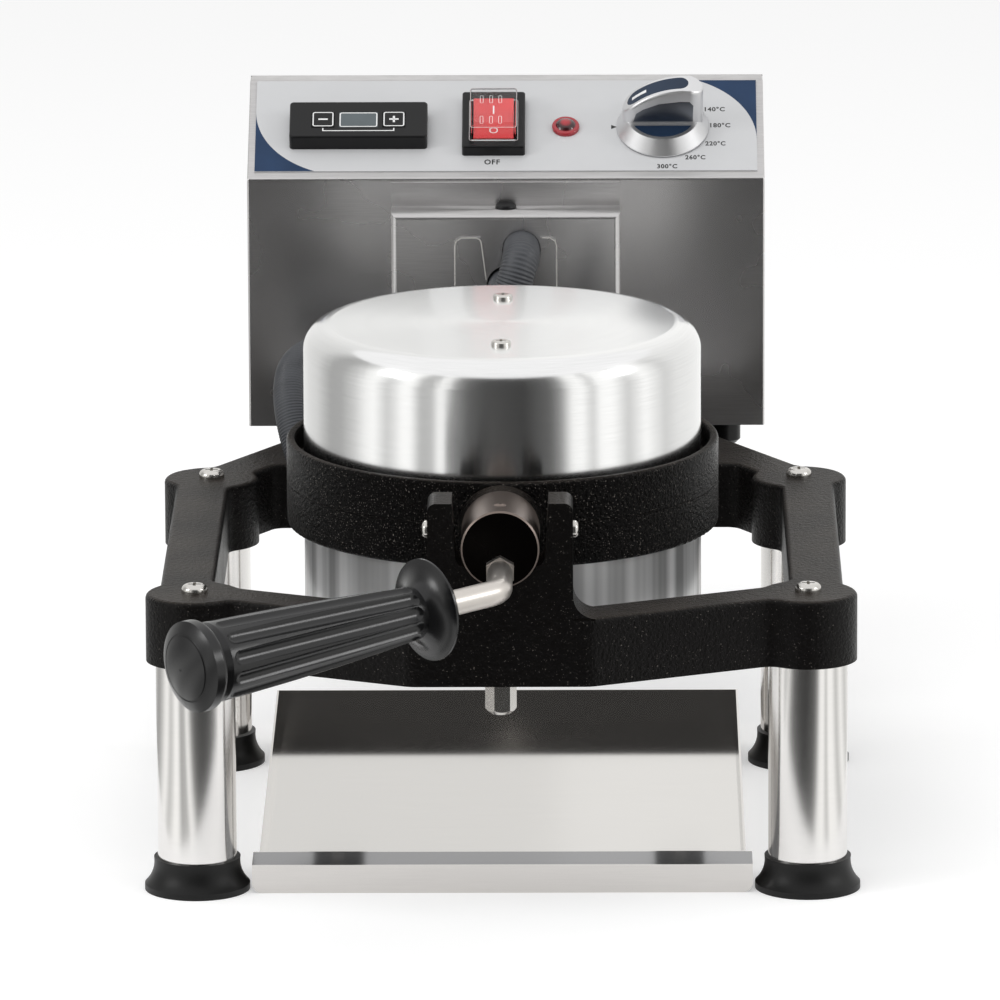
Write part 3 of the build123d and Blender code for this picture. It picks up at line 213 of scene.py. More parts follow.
def makeMirroredRoom():
    # a round wall and mat that only the reflections see, painted in upright strips
    steps, radius, low = studio["wallSteps"], studio["wallRadius"], studio["matHeight"]
    rings = [(studio["matInner"], low), (radius, low), (radius, studio["wallHeight"])]
    verts, faces = [], []
    for r, z in rings:
        for i in range(steps):
            a = 2 * math.pi * i / steps
            verts.append((r * math.sin(a), -r * math.cos(a), z))
    for k in range(len(rings) - 1):
        for i in range(steps):
            j = (i + 1) % steps
            faces.append((k * steps + i, k * steps + j, (k + 1) * steps + j, (k + 1) * steps + i))
    mesh = bpy.data.meshes.new("mirroredRoom")
    mesh.from_pydata(verts, [], faces)
    material = bpy.data.materials.new("studioStrips")
    material.use_nodes = True
    tree = material.node_tree
    tree.nodes.clear()
    place = placeParts(tree)
    angle = maths(tree, "ARCTAN2", place["X"], maths(tree, "MULTIPLY", place["Y"], -1.0))
    ramp = wire(tree, "ShaderNodeValToRGB", {"Fac": spread(tree, angle, 0, 1, -math.pi, math.pi)})
    stops = ramp.color_ramp.elements
    for count, (degrees, level) in enumerate(studio["strips"]):
        at = (degrees + 180) / 360
        stop = stops[count] if count < 2 else stops.new(at)
        stop.position, stop.color = at, (level, level, level * studio["mirrorBlue"], 1)
    glow = wire(tree, "ShaderNodeEmission", {"Color": ramp.outputs["Color"], "Strength": studio["mirrorStrength"]})
    wire(tree, "ShaderNodeOutputMaterial", {"Surface": glow.outputs[0]})
    mesh.materials.append(material)
    room = bpy.data.objects.new("mirroredRoom", mesh)
    bpy.context.scene.collection.objects.link(room)
    room.visible_camera = room.visible_diffuse = room.visible_shadow = False
    room.visible_transmission = room.visible_volume_scatter = False


lamps = {
    "topLamp": {"place": (-0.5, -0.9, 2.6), "aim": (0, 0, 0.15), "size": 2.2, "power": 26},
    "leftLamp": {"place": (-2.6, -1.2, 1.5), "aim": (0, 0, 0.15), "size": 0.8, "power": 15},
    "rightLamp": {"place": (2.7, -0.8, 1.4), "aim": (0, 0, 0.15), "size": 0.8, "power": 13},
}


def makeLamps():
    for name, lamp in lamps.items():
        data = bpy.data.lights.new(name, "AREA")
        data.size, data.energy = lamp["size"], lamp["power"]
        obj = bpy.data.objects.new(name, data)
        place = Vector(lamp["place"])
        aim = (Vector(lamp["aim"]) - place).to_track_quat("-Z", "Y")
        obj.matrix_world = Matrix.Translation(place) @ aim.to_matrix().to_4x4()
        obj.visible_glossy = name != "topLamp"
        bpy.context.scene.collection.objects.link(obj)


bpy.context.scene.view_settings.view_transform = "Standard"
makeStage()
makeLamps()
print("camera, floor and lamps made")


# the sloping control panel: millimetres along it, up it and off it
panelSpot = {"front": 0.232, "length": 0.07598, "slope": 30, "skin": 0.6 * mm}


def makePanelPlace():
    slope = math.radians(panelSpot["slope"])
    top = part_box("control_housing")[1].z - panelSpot["length"] * math.sin(slope)
    right = Vector((1, 0, 0))
    up = Vector((0, math.cos(slope), math.sin(slope)))
    out = Vector((0, -math.sin(slope), math.cos(slope)))
    turn = Matrix((right, up, out)).transposed().to_4x4()
    return Matrix.Translation((0, panelSpot["front"], top)) @ turn


panelPlace = makePanelPlace()


# finishes
steel = {"drift": 0.02, "lineStrength": 0.2, "cloudScale": 14, "cloudSpread": 0.1, "grainTurn": 0.25,
         "topFrom": 0.6, "topTo": 0.95}
coverSpot = {"y": -25.2, "radius": 96.3, "spigot": 6.0, "grain": 3200}
coverAxis = (0, coverSpot["y"] * mm)


def turnedPlace(tree, centre):
    # distance from an upright line, and height: lines of equal value run round the line
    place = wire(tree, "ShaderNodeTexCoord").outputs["Object"]
    moved = wire(tree, "ShaderNodeVectorMath", {0: place, 1: (centre[0], centre[1], 0)}, operation="SUBTRACT")
    flat = wire(tree, "ShaderNodeVectorMath", {0: moved.outputs[0], 1: (1, 1, 0)}, operation="MULTIPLY")
    far = wire(tree, "ShaderNodeVectorMath", {0: flat.outputs[0]}, operation="LENGTH").outputs["Value"]
    parts = wire(tree, "ShaderNodeSeparateXYZ", {0: moved.outputs[0]})
    slow = maths(tree, "MULTIPLY", parts.outputs["X"], steel["drift"])
    return wire(tree, "ShaderNodeCombineXYZ", {0: far, 1: slow, 2: parts.outputs["Z"]}).outputs[0]


def turnedLines(tree, centre, grain):
    place = turnedPlace(tree, centre)
    return wire(tree, "ShaderNodeTexNoise", {"Vector": place, "Scale": grain, "Detail": 2.0}).outputs["Fac"]


def brushedSteel(name, colour, roughness, stretch, grain=4000, anisotropic=0.6, contrast=0.035,
                 turned=None, depth=0.00001, topRoughness=None):
    # metal with fine lines: stretch says which way they run, or turned the upright line that they run round
    sockets = {"Anisotropic": anisotropic, "Anisotropic_Rotation": steel["grainTurn"] if anisotropic > 0.3 else 0.0}
    material, tree, shader = newMaterial(name, colour, roughness, 1.0, **sockets)
    lines = turnedLines(tree, turned, grain) if turned else objectNoise(tree, grain, 2, stretch)
    cloud = objectNoise(tree, steel["cloudScale"], 3)
    tree.links.new(wire(tree, "ShaderNodeTangent", direction_type="RADIAL", axis="Z").outputs[0],
                   shader.inputs["Tangent"])
    tree.links.new(twoTone(tree, spread(tree, lines, 0, 1), *varied(colour, contrast)), shader.inputs["Base Color"])
    rough = spread(tree, cloud, roughness * (1 - steel["cloudSpread"]), roughness * (1 + steel["cloudSpread"]))
    if topRoughness:
        upward = spread(tree, facingParts(tree)["Z"], 0, 1, steel["topFrom"], steel["topTo"])
        rough = mixValues(tree, upward, rough, topRoughness)
    tree.links.new(rough, shader.inputs["Roughness"])
    bumps(tree, shader, [(lines, steel["lineStrength"], depth)])
    return material


casting = {
    "wornAndLitTop": (0.030, 0.0245, 0.0205), "paintedGlint": (0.16, 0.145, 0.13), "paintedGlintSoft": 0.05,
    "lumpScale": 620, "sparkScale": 1250, "sparkStrength": 0.7, "sparkShare": 0.25, "broadScale": 26,
    "topFrom": 0.6, "topTo": 0.97, "wornAndLitLeast": 0.35, "roughness": 0.42, "glossSpread": 0.10, "topGloss": 0.44,
    # the ring's journal runs in the frame: its round side is rubbed bare, its face is plain black
    "journalEnd": -0.1365, "bareSlope": 0.8, "bare": (0.22, 0.18, 0.16), "bareRoughness": 0.42,
}


def castIron(name, colour, coarse, gloss, specular, glintFrom, journal=False):
    # satin black enamel over a sand casting; its upward faces are paler and browner, partly wear and partly painted
    # light from above, and it has sparse painted glints
    material, tree, shader = newMaterial(name, colour, casting["roughness"], 0.0, Specular_IOR_Level=specular)
    lumps = objectNoise(tree, casting["lumpScale"], 3, rough=0.55)
    sparks = objectNoise(tree, casting["sparkScale"], 2, rough=0.6)
    broad = objectNoise(tree, casting["broadScale"], 4)
    facing = facingParts(tree)
    flat = spread(tree, facing["Z"], 0, 1, casting["topFrom"], casting["topTo"])
    # upward faces get the paler top colour, varied by broad noise: partly wear, partly painted light from above
    tops = maths(tree, "MULTIPLY", flat, spread(tree, broad, casting["wornAndLitLeast"], 1.0, 0.35, 0.65))
    # sparse light specks in the base colour: painted glints
    glintMask = spread(tree, sparks, 0, 1, glintFrom, glintFrom + casting["paintedGlintSoft"])
    tone = overlay(tree, glintMask, twoTone(tree, tops, colour, casting["wornAndLitTop"]), casting["paintedGlint"])
    rough = mixValues(tree, flat, spread(tree, broad, gloss, gloss + casting["glossSpread"]), casting["topGloss"])
    if journal:
        front = maths(tree, "LESS_THAN", placeParts(tree)["Y"], casting["journalEnd"])
        round_ = maths(tree, "LESS_THAN", maths(tree, "ABSOLUTE", facing["Y"]), casting["bareSlope"])
        bare = maths(tree, "MULTIPLY", front, round_)
        tone = overlay(tree, bare, overlay(tree, front, tone, colour), casting["bare"])
        rough = mixValues(tree, bare, rough, casting["bareRoughness"])
        tree.links.new(bare, shader.inputs["Metallic"])
        rest = maths(tree, "SUBTRACT", 1.0, front)
        lumps, sparks = maths(tree, "MULTIPLY", lumps, rest), maths(tree, "MULTIPLY", sparks, rest)
    tree.links.new(tone, shader.inputs["Base Color"])
    tree.links.new(rough, shader.inputs["Roughness"])
    bumps(tree, shader, [(lumps, 1.0, coarse), (sparks, casting["sparkStrength"], coarse * casting["sparkShare"])])
    return material


moulding = {"broadScale": 60, "grainStrength": 0.4}


def moulded(name, colour, roughness, grainSize=2600, depth=0.00002, vary=0.12, **sockets):
    material, tree, shader = newMaterial(name, colour, roughness, 0.0, **sockets)
    grain = objectNoise(tree, grainSize, 2)
    broad = objectNoise(tree, moulding["broadScale"], 3)
    tree.links.new(twoTone(tree, spread(tree, broad, 0, 1), *varied(colour, vary)), shader.inputs["Base Color"])
    tree.links.new(spread(tree, broad, roughness * (1 - vary), min(1, roughness * (1 + vary))),
                   shader.inputs["Roughness"])
    bumps(tree, shader, [(grain, moulding["grainStrength"], depth)])
    return material


lampSpot = {"u": 30.3, "v": 38.0, "high": 3.0, "rim": (0.36, 0.012, 0.022), "ring": (0.035, 0.004, 0.006),
            "middle": (0.55, 0.05, 0.06), "ringFrom": 3.1, "ringTo": 4.9, "reach": 8}


def lampLens():
    # a red lens with a dark ring round its middle, drawn by the distance from the lamp's axis
    material, tree, shader = newMaterial("lampRed", lampSpot["rim"], 0.2, 0.0, Coat_Weight=0.5, Coat_Roughness=0.1)
    centre = panelPlace @ Vector((lampSpot["u"] * mm, lampSpot["v"] * mm, lampSpot["high"] * mm))
    place = wire(tree, "ShaderNodeTexCoord").outputs["Object"]
    far = wire(tree, "ShaderNodeVectorMath", {0: place, 1: tuple(centre)}, operation="DISTANCE").outputs["Value"]
    ramp = wire(tree, "ShaderNodeValToRGB", {"Fac": spread(tree, far, 0, 1, 0, lampSpot["reach"] * mm)})
    stops = ramp.color_ramp.elements
    marks = [(0.0, "middle"), (lampSpot["ringFrom"] - 0.6, "rim"), (lampSpot["ringFrom"] + 0.3, "ring"),
             (lampSpot["ringTo"] - 0.3, "ring"), (lampSpot["ringTo"] + 0.4, "rim")]
    for count, (at, tone) in enumerate(marks):
        share = at / lampSpot["reach"]
        stop = stops[count] if count < 2 else stops.new(share)
        stop.position, stop.color = share, (*lampSpot[tone], 1)
    tree.links.new(ramp.outputs["Color"], shader.inputs["Base Color"])
    bumps(tree, shader, [(objectNoise(tree, 900, 2), 0.3, 0.00002)])
    return material


plate = {"colour": (0.05, 0.046, 0.042), "roughness": 0.45, "metallic": 0.3, "dark": (0.035, 0.030, 0.026),
         "light": (0.085, 0.075, 0.066), "smoothest": 0.32, "roughest": 0.55, "broadScale": 35, "grainScale": 700,
         "grainDepth": 0.00006}


def plateIron():
    # cast iron darkened by use
    material, tree, shader = newMaterial("seasonedPlate", plate["colour"], plate["roughness"], plate["metallic"])
    broad = objectNoise(tree, plate["broadScale"], 5)
    grain = objectNoise(tree, plate["grainScale"], 3)
    tone = twoTone(tree, spread(tree, broad, 0, 1), plate["dark"], plate["light"])
    tree.links.new(tone, shader.inputs["Base Color"])
    tree.links.new(spread(tree, broad, plate["smoothest"], plate["roughest"]), shader.inputs["Roughness"])
    bumps(tree, shader, [(grain, 0.4, plate["grainDepth"])])
    return material


clear = {"colour": (0.98, 0.98, 0.98), "roughness": 0.06, "bend": 1.25, "hazeScale": 90, "smoothest": 0.03,
         "roughest": 0.12, "hazeDepth": 0.00004}


def clearPlastic():
    sockets = {"Transmission_Weight": 1.0, "IOR": clear["bend"]}
    material, tree, shader = newMaterial("clearCover", clear["colour"], clear["roughness"], 0.0, **sockets)
    haze = objectNoise(tree, clear["hazeScale"], 3)
    tree.links.new(spread(tree, haze, clear["smoothest"], clear["roughest"]), shader.inputs["Roughness"])
    bumps(tree, shader, [(haze, 0.15, clear["hazeDepth"])])
    return material


# how a steel's fine noise is stretched: into level lines, or not at all
levelLines, noLines = (0.02, 0.02, 1), (1, 1, 1)
finish = {
    "enamel_casting": castIron("enamelFrame", (0.0020, 0.0014, 0.0012), 0.0008, 0.30, 0.14, 0.68),
    "ring_casting": castIron("enamelRing", (0.0012, 0.0008, 0.0006), 0.0016, 0.22, 0.07, 0.64, journal=True),
    "plate_casting": plateIron(),
    "brushed_steel": brushedSteel("brushedSheet", (0.61, 0.60, 0.60), 0.27, levelLines, contrast=0.06,
                                  depth=0.0000005, topRoughness=0.6),
    "cover_steel": brushedSteel("spunCover", (0.88, 0.88, 0.88), 0.17, noLines, grain=coverSpot["grain"],
                                anisotropic=0.75, contrast=0.03, turned=coverAxis),
    "screw_steel": brushedSteel("screwSteel", (0.66, 0.64, 0.61), 0.22, noLines, anisotropic=0.2),
    "rod_steel": brushedSteel("rodSteel", (0.68, 0.64, 0.60), 0.36, noLines, anisotropic=0.2),
    "bush_brass": brushedSteel("bushBrass", (0.60, 0.46, 0.20), 0.30, noLines, anisotropic=0.2),
    "foot_rubber": moulded("footRubber", (0.004, 0.004, 0.004), 0.45, 1500, 0.00006, Specular_IOR_Level=0.3),
    "hose_black": moulded("hoseSleeve", (0.052, 0.055, 0.062), 0.42),
    "grip_black": moulded("gripBlack", (0.004, 0.004, 0.0045), 0.24, 1800, 0.00001),
    "black_plastic": moulded("blackPlastic", (0.004, 0.004, 0.0045), 0.34, Specular_IOR_Level=0.3),
    "fascia_grey": moulded("fasciaFilm", (0.585, 0.59, 0.60), 0.42, 3000, 0.000005, vary=0.012),
    "display_grey": moulded("displayGlass", (0.09, 0.11, 0.12), 0.12, 3000, 0.00001),
    "rocker_red": moulded("rockerRed", (0.66, 0.030, 0.034), 0.32),
    "clear_cover": clearPlastic(),
    "lamp_red": lampLens(),
    "knob_silver": brushedSteel("knobSilver", (0.74, 0.74, 0.75), 0.34, noLines, grain=5000, anisotropic=0.2,
                                contrast=0.02),
    "knob_navy": moulded("knobNavy", (0.012, 0.026, 0.055), 0.34, Specular_IOR_Level=0.3),
    "terminal_white": moulded("terminalBlock", (0.62, 0.60, 0.55), 0.5),
}


def shadeWhere(material, shade):
    # another base colour between two places along an axis, on faces that look up more than so much
    tree = material.node_tree
    base = tree.nodes["Principled BSDF"].inputs["Base Color"]
    place, upward = placeParts(tree)[shade["axis"]], facingParts(tree)["Z"]
    between = maths(tree, "MULTIPLY", maths(tree, "GREATER_THAN", place, shade["from"]),
                    maths(tree, "LESS_THAN", place, shade["to"]))
    mask = maths(tree, "MULTIPLY", between, maths(tree, "GREATER_THAN", upward, shade["upward"]))
    tree.links.new(overlay(tree, mask, base.links[0].from_socket, shade["colour"]), base)


# the lower cover hangs in the frame's shade: duller, with painted shade and upright stripes of painted reflection in
# its colour on its side, and a plain painted grey on its ends
lowCover = {"colour": (0.8, 0.8, 0.8), "roughness": 0.3, "metallic": 0.55, "dark": (0.38, 0.38, 0.38),
            "light": (1.0, 1.0, 1.0), "stripeScale": 75, "stripeFrom": 0.38, "stripeTo": 0.62, "end": 0.75,
            "sideTo": 0.1, "endFrom": 0.5, "depth": 0.00001}


def lowerCoverSteel():
    c = lowCover
    material, tree, shader = newMaterial("spunCoverLow", c["colour"], c["roughness"], c["metallic"])
    # light and dark upright stripes painted into the colour: a painted reflection, with painted shade between
    reflectionStripes = spread(tree, objectNoise(tree, c["stripeScale"], 2, (1, 1, 0)), 0, 1, c["stripeFrom"], c["stripeTo"])
    level = maths(tree, "ABSOLUTE", facingParts(tree)["Z"])
    paintedReflection = mixValues(tree, spread(tree, level, 0, 1, c["sideTo"], c["endFrom"]), reflectionStripes, c["end"])
    tree.links.new(twoTone(tree, paintedReflection, c["dark"], c["light"]), shader.inputs["Base Color"])
    lines = turnedLines(tree, coverAxis, coverSpot["grain"])
    bumps(tree, shader, [(lines, steel["lineStrength"], c["depth"])])
    return material


# pieces that look unlike the rest of their slot: the tray's lip has a painted dark reflection on its top, and the
# guide screws are painted black between the cheeks, a painted shade
lipPaintedReflection = {"axis": "Y", "from": -0.1325, "to": -0.109, "upward": 0.9, "colour": (0.17, 0.17, 0.18)}
# the guide screws' painted shade, between the cheeks
tipShade = {"axis": "X", "from": -0.0235, "to": 0.0235, "upward": -2, "colour": (0.004, 0.004, 0.004)}
traySheet = brushedSteel("traySheet", (0.64, 0.62, 0.60), 0.09, (0.03, 1, 1), grain=1600, anisotropic=0.0,
                         contrast=0.015)
shadeWhere(traySheet, lipPaintedReflection)
guideSteel = brushedSteel("guideScrewSteel", (0.66, 0.64, 0.61), 0.24, noLines, anisotropic=0.2)
shadeWhere(guideSteel, tipShade)
legTube = brushedSteel("legTube", (0.80, 0.785, 0.77), 0.15, levelLines, contrast=0.02)
special = {
    "leg_front_left": legTube, "leg_front_right": legTube, "leg_rear_left": legTube, "leg_rear_right": legTube,
    "handle_nut": finish["rod_steel"], "drip_tray": traySheet, "lower_cover": lowerCoverSteel(),
    "cradle_screws": guideSteel,
}
creaseAngle = 28


def dressNodes():
    for sub in frame["record"]["subparts"]:
        node = nodes[sub["node"]]
        node.data.materials.clear()
        node.data.materials.append(special.get(sub["node"], finish[sub["material_slot"]]))
        for face in node.data.polygons:
            face.use_smooth = True
        node.data.set_sharp_from_angle(angle=math.radians(creaseAngle))


dressNodes()
print("finishes made and the packed nodes dressed")


# small helpers for meshes
def newPiece(name, mesh, material, body, smooth=30):
    piece = bpy.data.objects.new(name, mesh)
    bpy.context.scene.collection.objects.link(piece)
    mesh.materials.clear()
    mesh.materials.append(material)
    for face in mesh.polygons:
        face.use_smooth = smooth > 0
    if smooth:
        mesh.set_sharp_from_angle(angle=math.radians(smooth))
    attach(piece, body)
    return piece


def meshOf(name, verts, faces, place=None):
    mesh = bpy.data.meshes.new(name)
    mesh.from_pydata([tuple(place @ Vector(v)) if place else v for v in verts], [], faces)
    mesh.update()
    return mesh


# hoses, each on a smooth line from the same start to the same end as its tube
hoses = {
    "upperFeedHose": {
        "node": "upper_feed_hose", "diameter": 18.6 * mm, "pitch": 1.5 * mm, "bodies": ("base", "rotor"),
        "route": [(8, 232, 243.5), (8, 206, 244), (8, 179, 244), (-4, 182, 204.5), (-37, 180, 191), (-36, 148, 180),
                  (-34, 134, 180), (-34, 118, 180)],
        "from": (0, 0.205, 0.2), "to": (0, 0.124, 0.2),
    },
    "lowerFeedHose": {
        "node": "lower_feed_hose", "diameter": 18.6 * mm, "pitch": 1.5 * mm, "bodies": ("base", "rotor"),
        "route": [(0, 232, 225), (0, 203, 225), (-2, 198, 212), (-30, 198, 197), (-72, 190, 198), (-104, 158, 200),
                  (-108, 128, 184), (-97, 104, 148)],
        "from": (0, 0.200, 0.2), "to": (0, 0.090, 0.2),
    },
    "lidJumperHose": {
        "node": "lid_jumper_hose", "diameter": 12 * mm, "pitch": 1.3 * mm, "bodies": ("rotor", "lid"),
        "route": [(34, 118, 180), (34, 143, 180), (38, 142, 214)],
        "from": (0.034, 0.130, 0.185), "to": (0.043, 0.085, 0.222),
    },
}
glands = {  # where a hose runs into a cover: angle round the cover, height, last straight run
    "lowerFeedHose": {"angle": 123, "height": 132, "run": 26, "before": []},
    "lidJumperHose": {"angle": 65, "height": 222, "run": 14, "before": [(46, 108, 225)]},
}
ribs = {"depth": 0.55 * mm, "sides": 36, "stepsPerRib": 5, "plainEnd": 1.2}


def routePoints(name):
    points = list(hoses[name]["route"])
    gland = glands.get(name)
    if gland:
        a = math.radians(gland["angle"])
        reach = coverSpot["radius"] + coverSpot["spigot"]
        points += gland["before"]
        for r in (reach + gland["run"], reach):
            points.append((r * math.cos(a), coverSpot["y"] + r * math.sin(a), gland["height"]))
    return [Vector(p) * mm for p in points]


def smoothLine(name, points):
    curve = bpy.data.curves.new(name + "Line", "CURVE")
    curve.dimensions, curve.resolution_u = "3D", 24
    spline = curve.splines.new("NURBS")
    spline.points.add(len(points) - 1)
    for point, place in zip(spline.points, points):
        point.co = (*place, 1)
    spline.order_u = 3
    spline.use_endpoint_u = True
    helper = bpy.data.objects.new(name + "Line", curve)
    mesh = bpy.data.meshes.new_from_object(helper)
    line = [v.co.copy() for v in mesh.vertices]
    bpy.data.objects.remove(helper)
    return line


def alongLine(line, step):
    # evenly spaced points and directions on a line of points
    lengths = [0.0]
    for a, b in zip(line, line[1:]):
        lengths.append(lengths[-1] + (b - a).length)
    count = max(2, round(lengths[-1] / step))
    places, k = [], 0
    for i in range(count + 1):
        at = lengths[-1] * i / count
        while k < len(line) - 2 and lengths[k + 1] < at:
            k += 1
        share = (at - lengths[k]) / max(1e-9, lengths[k + 1] - lengths[k])
        places.append(line[k].lerp(line[k + 1], share))
    return places, lengths[-1]


def ribbedTube(name, line, radius, pitch):
    sides, step = ribs["sides"], pitch / ribs["stepsPerRib"]
    places, length = alongLine(line, step)
    plainSteps = int(ribs["plainEnd"] * radius / step)
    bm = bmesh.new()
    side = last = None
    for i, place in enumerate(places):
        ahead = (places[min(i + 1, len(places) - 1)] - places[max(i - 1, 0)]).normalized()
        side = ahead.orthogonal().normalized() if side is None else (side - ahead * side.dot(ahead)).normalized()
        other = ahead.cross(side)
        wave = 0.5 - 0.5 * math.cos(2 * math.pi * i / ribs["stepsPerRib"])
        isPlain = i < plainSteps or i > len(places) - 1 - plainSteps
        r = radius - ribs["depth"] * (1.0 if isPlain else wave)
        ring = []
        for k in range(sides):
            a = 2 * math.pi * k / sides
            ring.append(bm.verts.new(place + (side * math.cos(a) + other * math.sin(a)) * r))
        if last:
            for k in range(sides):
                bm.faces.new((last[k], last[(k + 1) % sides], ring[(k + 1) % sides], ring[k]))
        last = ring
    mesh = bpy.data.meshes.new(name)
    bm.normal_update()
    bm.to_mesh(mesh)
    bm.free()
    return mesh, places, length


def makeHoses():
    for name, hose in hoses.items():
        line = smoothLine(name, routePoints(name))
        mesh, path, length = ribbedTube(name, line, hose["diameter"] / 2, hose["pitch"])
        piece = newPiece(name, mesh, finish["hose_black"], hose["bodies"][0], smooth=180)
        piece.parent = None
        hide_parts(hose["node"])
        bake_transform(piece)
        print(name, "length", round(length, 4))


makeHoses()


# the print and the marks on the control panel, and the painted highlights, reflections and shade laid on as thin
# sheets
inkAndPaintedLight = {
    "navy": moulded("navyPrint", (0.021, 0.045, 0.100), 0.45, 3000, 0.000005, Specular_IOR_Level=0.15),
    "black": moulded("blackPrint", (0.012, 0.012, 0.012), 0.4, 3000, 0.00001),
    "white": moulded("whitePrintAndReflection", (0.80, 0.80, 0.80), 0.4, 3000, 0.00001),
    "paleHighlight": moulded("paleEdgeHighlight", (0.55, 0.50, 0.50), 0.2, 3000, 0.00001),
    "brightHighlight": moulded("brightEdgeHighlight", (0.62, 0.60, 0.57), 0.4, 3000, 0.00001),
}
printLift = 0.03  # millimetres that print stands off what it is printed on


def panelSheet(name, outline, height, ink, body="base", place=None):
    # a thin printed shape, given in millimetres along and up the panel
    verts = [(u * mm, v * mm, height) for u, v in outline]
    mesh = meshOf(name, verts, [tuple(range(len(verts)))], place or panelPlace)
    return newPiece(name, mesh, inkAndPaintedLight[ink], body, smooth=0)


def strokeOutline(points, width, closed=False):
    # a line drawn along points, as one ring of corners
    count = len(points)
    left, right = [], []
    for i, point in enumerate(points):
        here = Vector(point)
        before = Vector(points[i - 1]) if closed or i > 0 else here
        after = Vector(points[(i + 1) % count]) if closed or i < count - 1 else here
        a, b = (here - before), (after - here)
        a = a.normalized() if a.length > 0 else b.normalized()
        b = b.normalized() if b.length > 0 else a
        corner = Vector((-a.y - b.y, a.x + b.x)).normalized()
        reach = width / 2 / max(0.4, corner.dot(Vector((-a.y, a.x))))
        left.append(here + corner * reach)
        right.append(here - corner * reach)
    return left, right


def panelStroke(name, points, width, height, ink, body="base", closed=False, place=None):
    left, right = strokeOutline(points, width, closed)
    verts = [(p.x * mm, p.y * mm, height) for p in left + right]
    count = len(points)
    faces = [(i, i + count, (i + 1) % count + count, (i + 1) % count) for i in range(count if closed else count - 1)]
    mesh = meshOf(name, verts, faces, place or panelPlace)
    return newPiece(name, mesh, inkAndPaintedLight[ink], body, smooth=0)


def roundedBox(cx, cy, width, height, radius, steps=5):
    points = []
    for k, (sx, sy) in enumerate([(1, -1), (1, 1), (-1, 1), (-1, -1)]):
        for i in range(steps + 1):
            a = math.radians(-90 + 90 * k + 90 * i / steps)
            points.append((cx + sx * (width / 2 - radius) + radius * math.cos(a),
                           cy + sy * (height / 2 - radius) + radius * math.sin(a)))
    return points


def panelWords(name, words, u, v, width, height, ink, bold=0.03):
    # plain letters, drawn to a width and a height in millimetres
    text = bpy.data.curves.new(name, "FONT")
    text.body, text.size, text.offset = words, mm, bold * mm
    text.resolution_u, text.space_character = 3, fasciaPrint["letterSpace"]
    helper = bpy.data.objects.new(name, text)
    mesh = bpy.data.meshes.new_from_object(helper)
    bpy.data.objects.remove(helper)
    across, up = [v.co.x for v in mesh.vertices], [v.co.y for v in mesh.vertices]
    middle = Vector(((min(across) + max(across)) / 2, (min(up) + max(up)) / 2, 0))
    shape = Matrix.Diagonal((width * mm / (max(across) - min(across)), height * mm / (max(up) - min(up)), 1, 1))
    spot = Matrix.Translation((u * mm, v * mm, panelSpot["skin"] + printLift * mm))
    mesh.transform(panelPlace @ spot @ shape @ Matrix.Translation(-middle))
    return newPiece(name, mesh, inkAndPaintedLight[ink], "base", smooth=0)


fasciaPrint = {
    "left": -127.35, "right": 127.35, "low": 5.0, "high": 74.48, "cornerCentre": (50.0, 46.0), "cornerRadius": 50.0,
    "dialNumbers": {"140": (106.2, 52.0), "180": (108.9, 39.6), "220": (106.3, 25.6), "260": (96.0, 15.0),
                    "300": (81.7, 8.2)},
    "numberWidth": 10.2, "numberHeight": 3.5, "letterSpace": 1.12,
    "pointer": [(53.4, 40.0), (53.4, 36.8), (56.3, 38.4)],
    "off": {"u": -7.0, "v": 11.7, "width": 7.9, "height": 3.9, "bold": 0.025},
}


def cornerOutline(left, low, turn, steps=30):
    # the corner of the film left outside a circle, or that corner turned half round
    (across, up), radius = fasciaPrint["cornerCentre"], fasciaPrint["cornerRadius"]
    start = math.acos(-math.sqrt(radius ** 2 - up ** 2) / radius)
    points = [(0, 0)]
    for i in range(steps + 1):
        a = start + (math.pi - start) * i / steps
        points.append((across + radius * math.cos(a), up - radius * math.sin(a)))
    return [(left + turn * x, low + turn * y) for x, y in points]


def makePanelPrint():
    p = fasciaPrint
    lift = panelSpot["skin"] + printLift * mm
    panelSheet("navyCornerLeft", cornerOutline(p["left"], p["low"], 1), lift, "navy")
    panelSheet("navyCornerRight", cornerOutline(p["right"], p["high"], -1), lift, "navy")
    for words, (u, v) in p["dialNumbers"].items():
        panelWords("dial" + words, words + "°C", u, v, p["numberWidth"], p["numberHeight"], "black")
    panelSheet("dialPointer", p["pointer"], lift, "black")
    off = p["off"]
    panelWords("offMark", "OFF", off["u"], off["v"], off["width"], off["height"], "black", off["bold"])


timerMarks = {"u": -74.9, "v": 35.4, "face": 9.1, "button": 9.5, "glass": 9.15, "keyU": 18.0, "keyV": -0.6,
              "line": 0.6, "corner": 1.0, "border": (10.0, 10.3), "display": (18.6, 10.4), "signReach": 2.4,
              "signLine": 1.1, "linkStart": 6.4, "linkDrop": 8.4}


def makeTimerMarks():
    # the keys' signs and borders, the display's border and the line that joins the keys
    t = timerMarks
    face, key = (t["face"] + printLift) * mm, (t["button"] + printLift) * mm
    v, reach, corner, line = t["v"] + t["keyV"], t["signReach"], t["corner"], t["line"]
    for name, side, body in (("minus", -1, "minus_key"), ("plus", 1, "plus_key")):
        u = t["u"] + side * t["keyU"]
        panelStroke(name + "Border", roundedBox(u, v, *t["border"], corner), line, key, "white", body, closed=True)
        panelStroke(name + "Bar", [(u - reach, v), (u + reach, v)], t["signLine"], key, "white", body)
    left, right = t["u"] - t["keyU"], t["u"] + t["keyU"]
    panelStroke("plusUpright", [(right, v - reach), (right, v + reach)], t["signLine"], key, "white", "plus_key")
    display = roundedBox(t["u"], v, *t["display"], corner)
    panelStroke("displayBorder", display, line, t["glass"] * mm, "white", closed=True)
    start, low = v - t["linkStart"], v - t["linkDrop"]
    panelStroke("timerLink", [(left, start), (left, low), (right, low), (right, start)], line, face, "white")
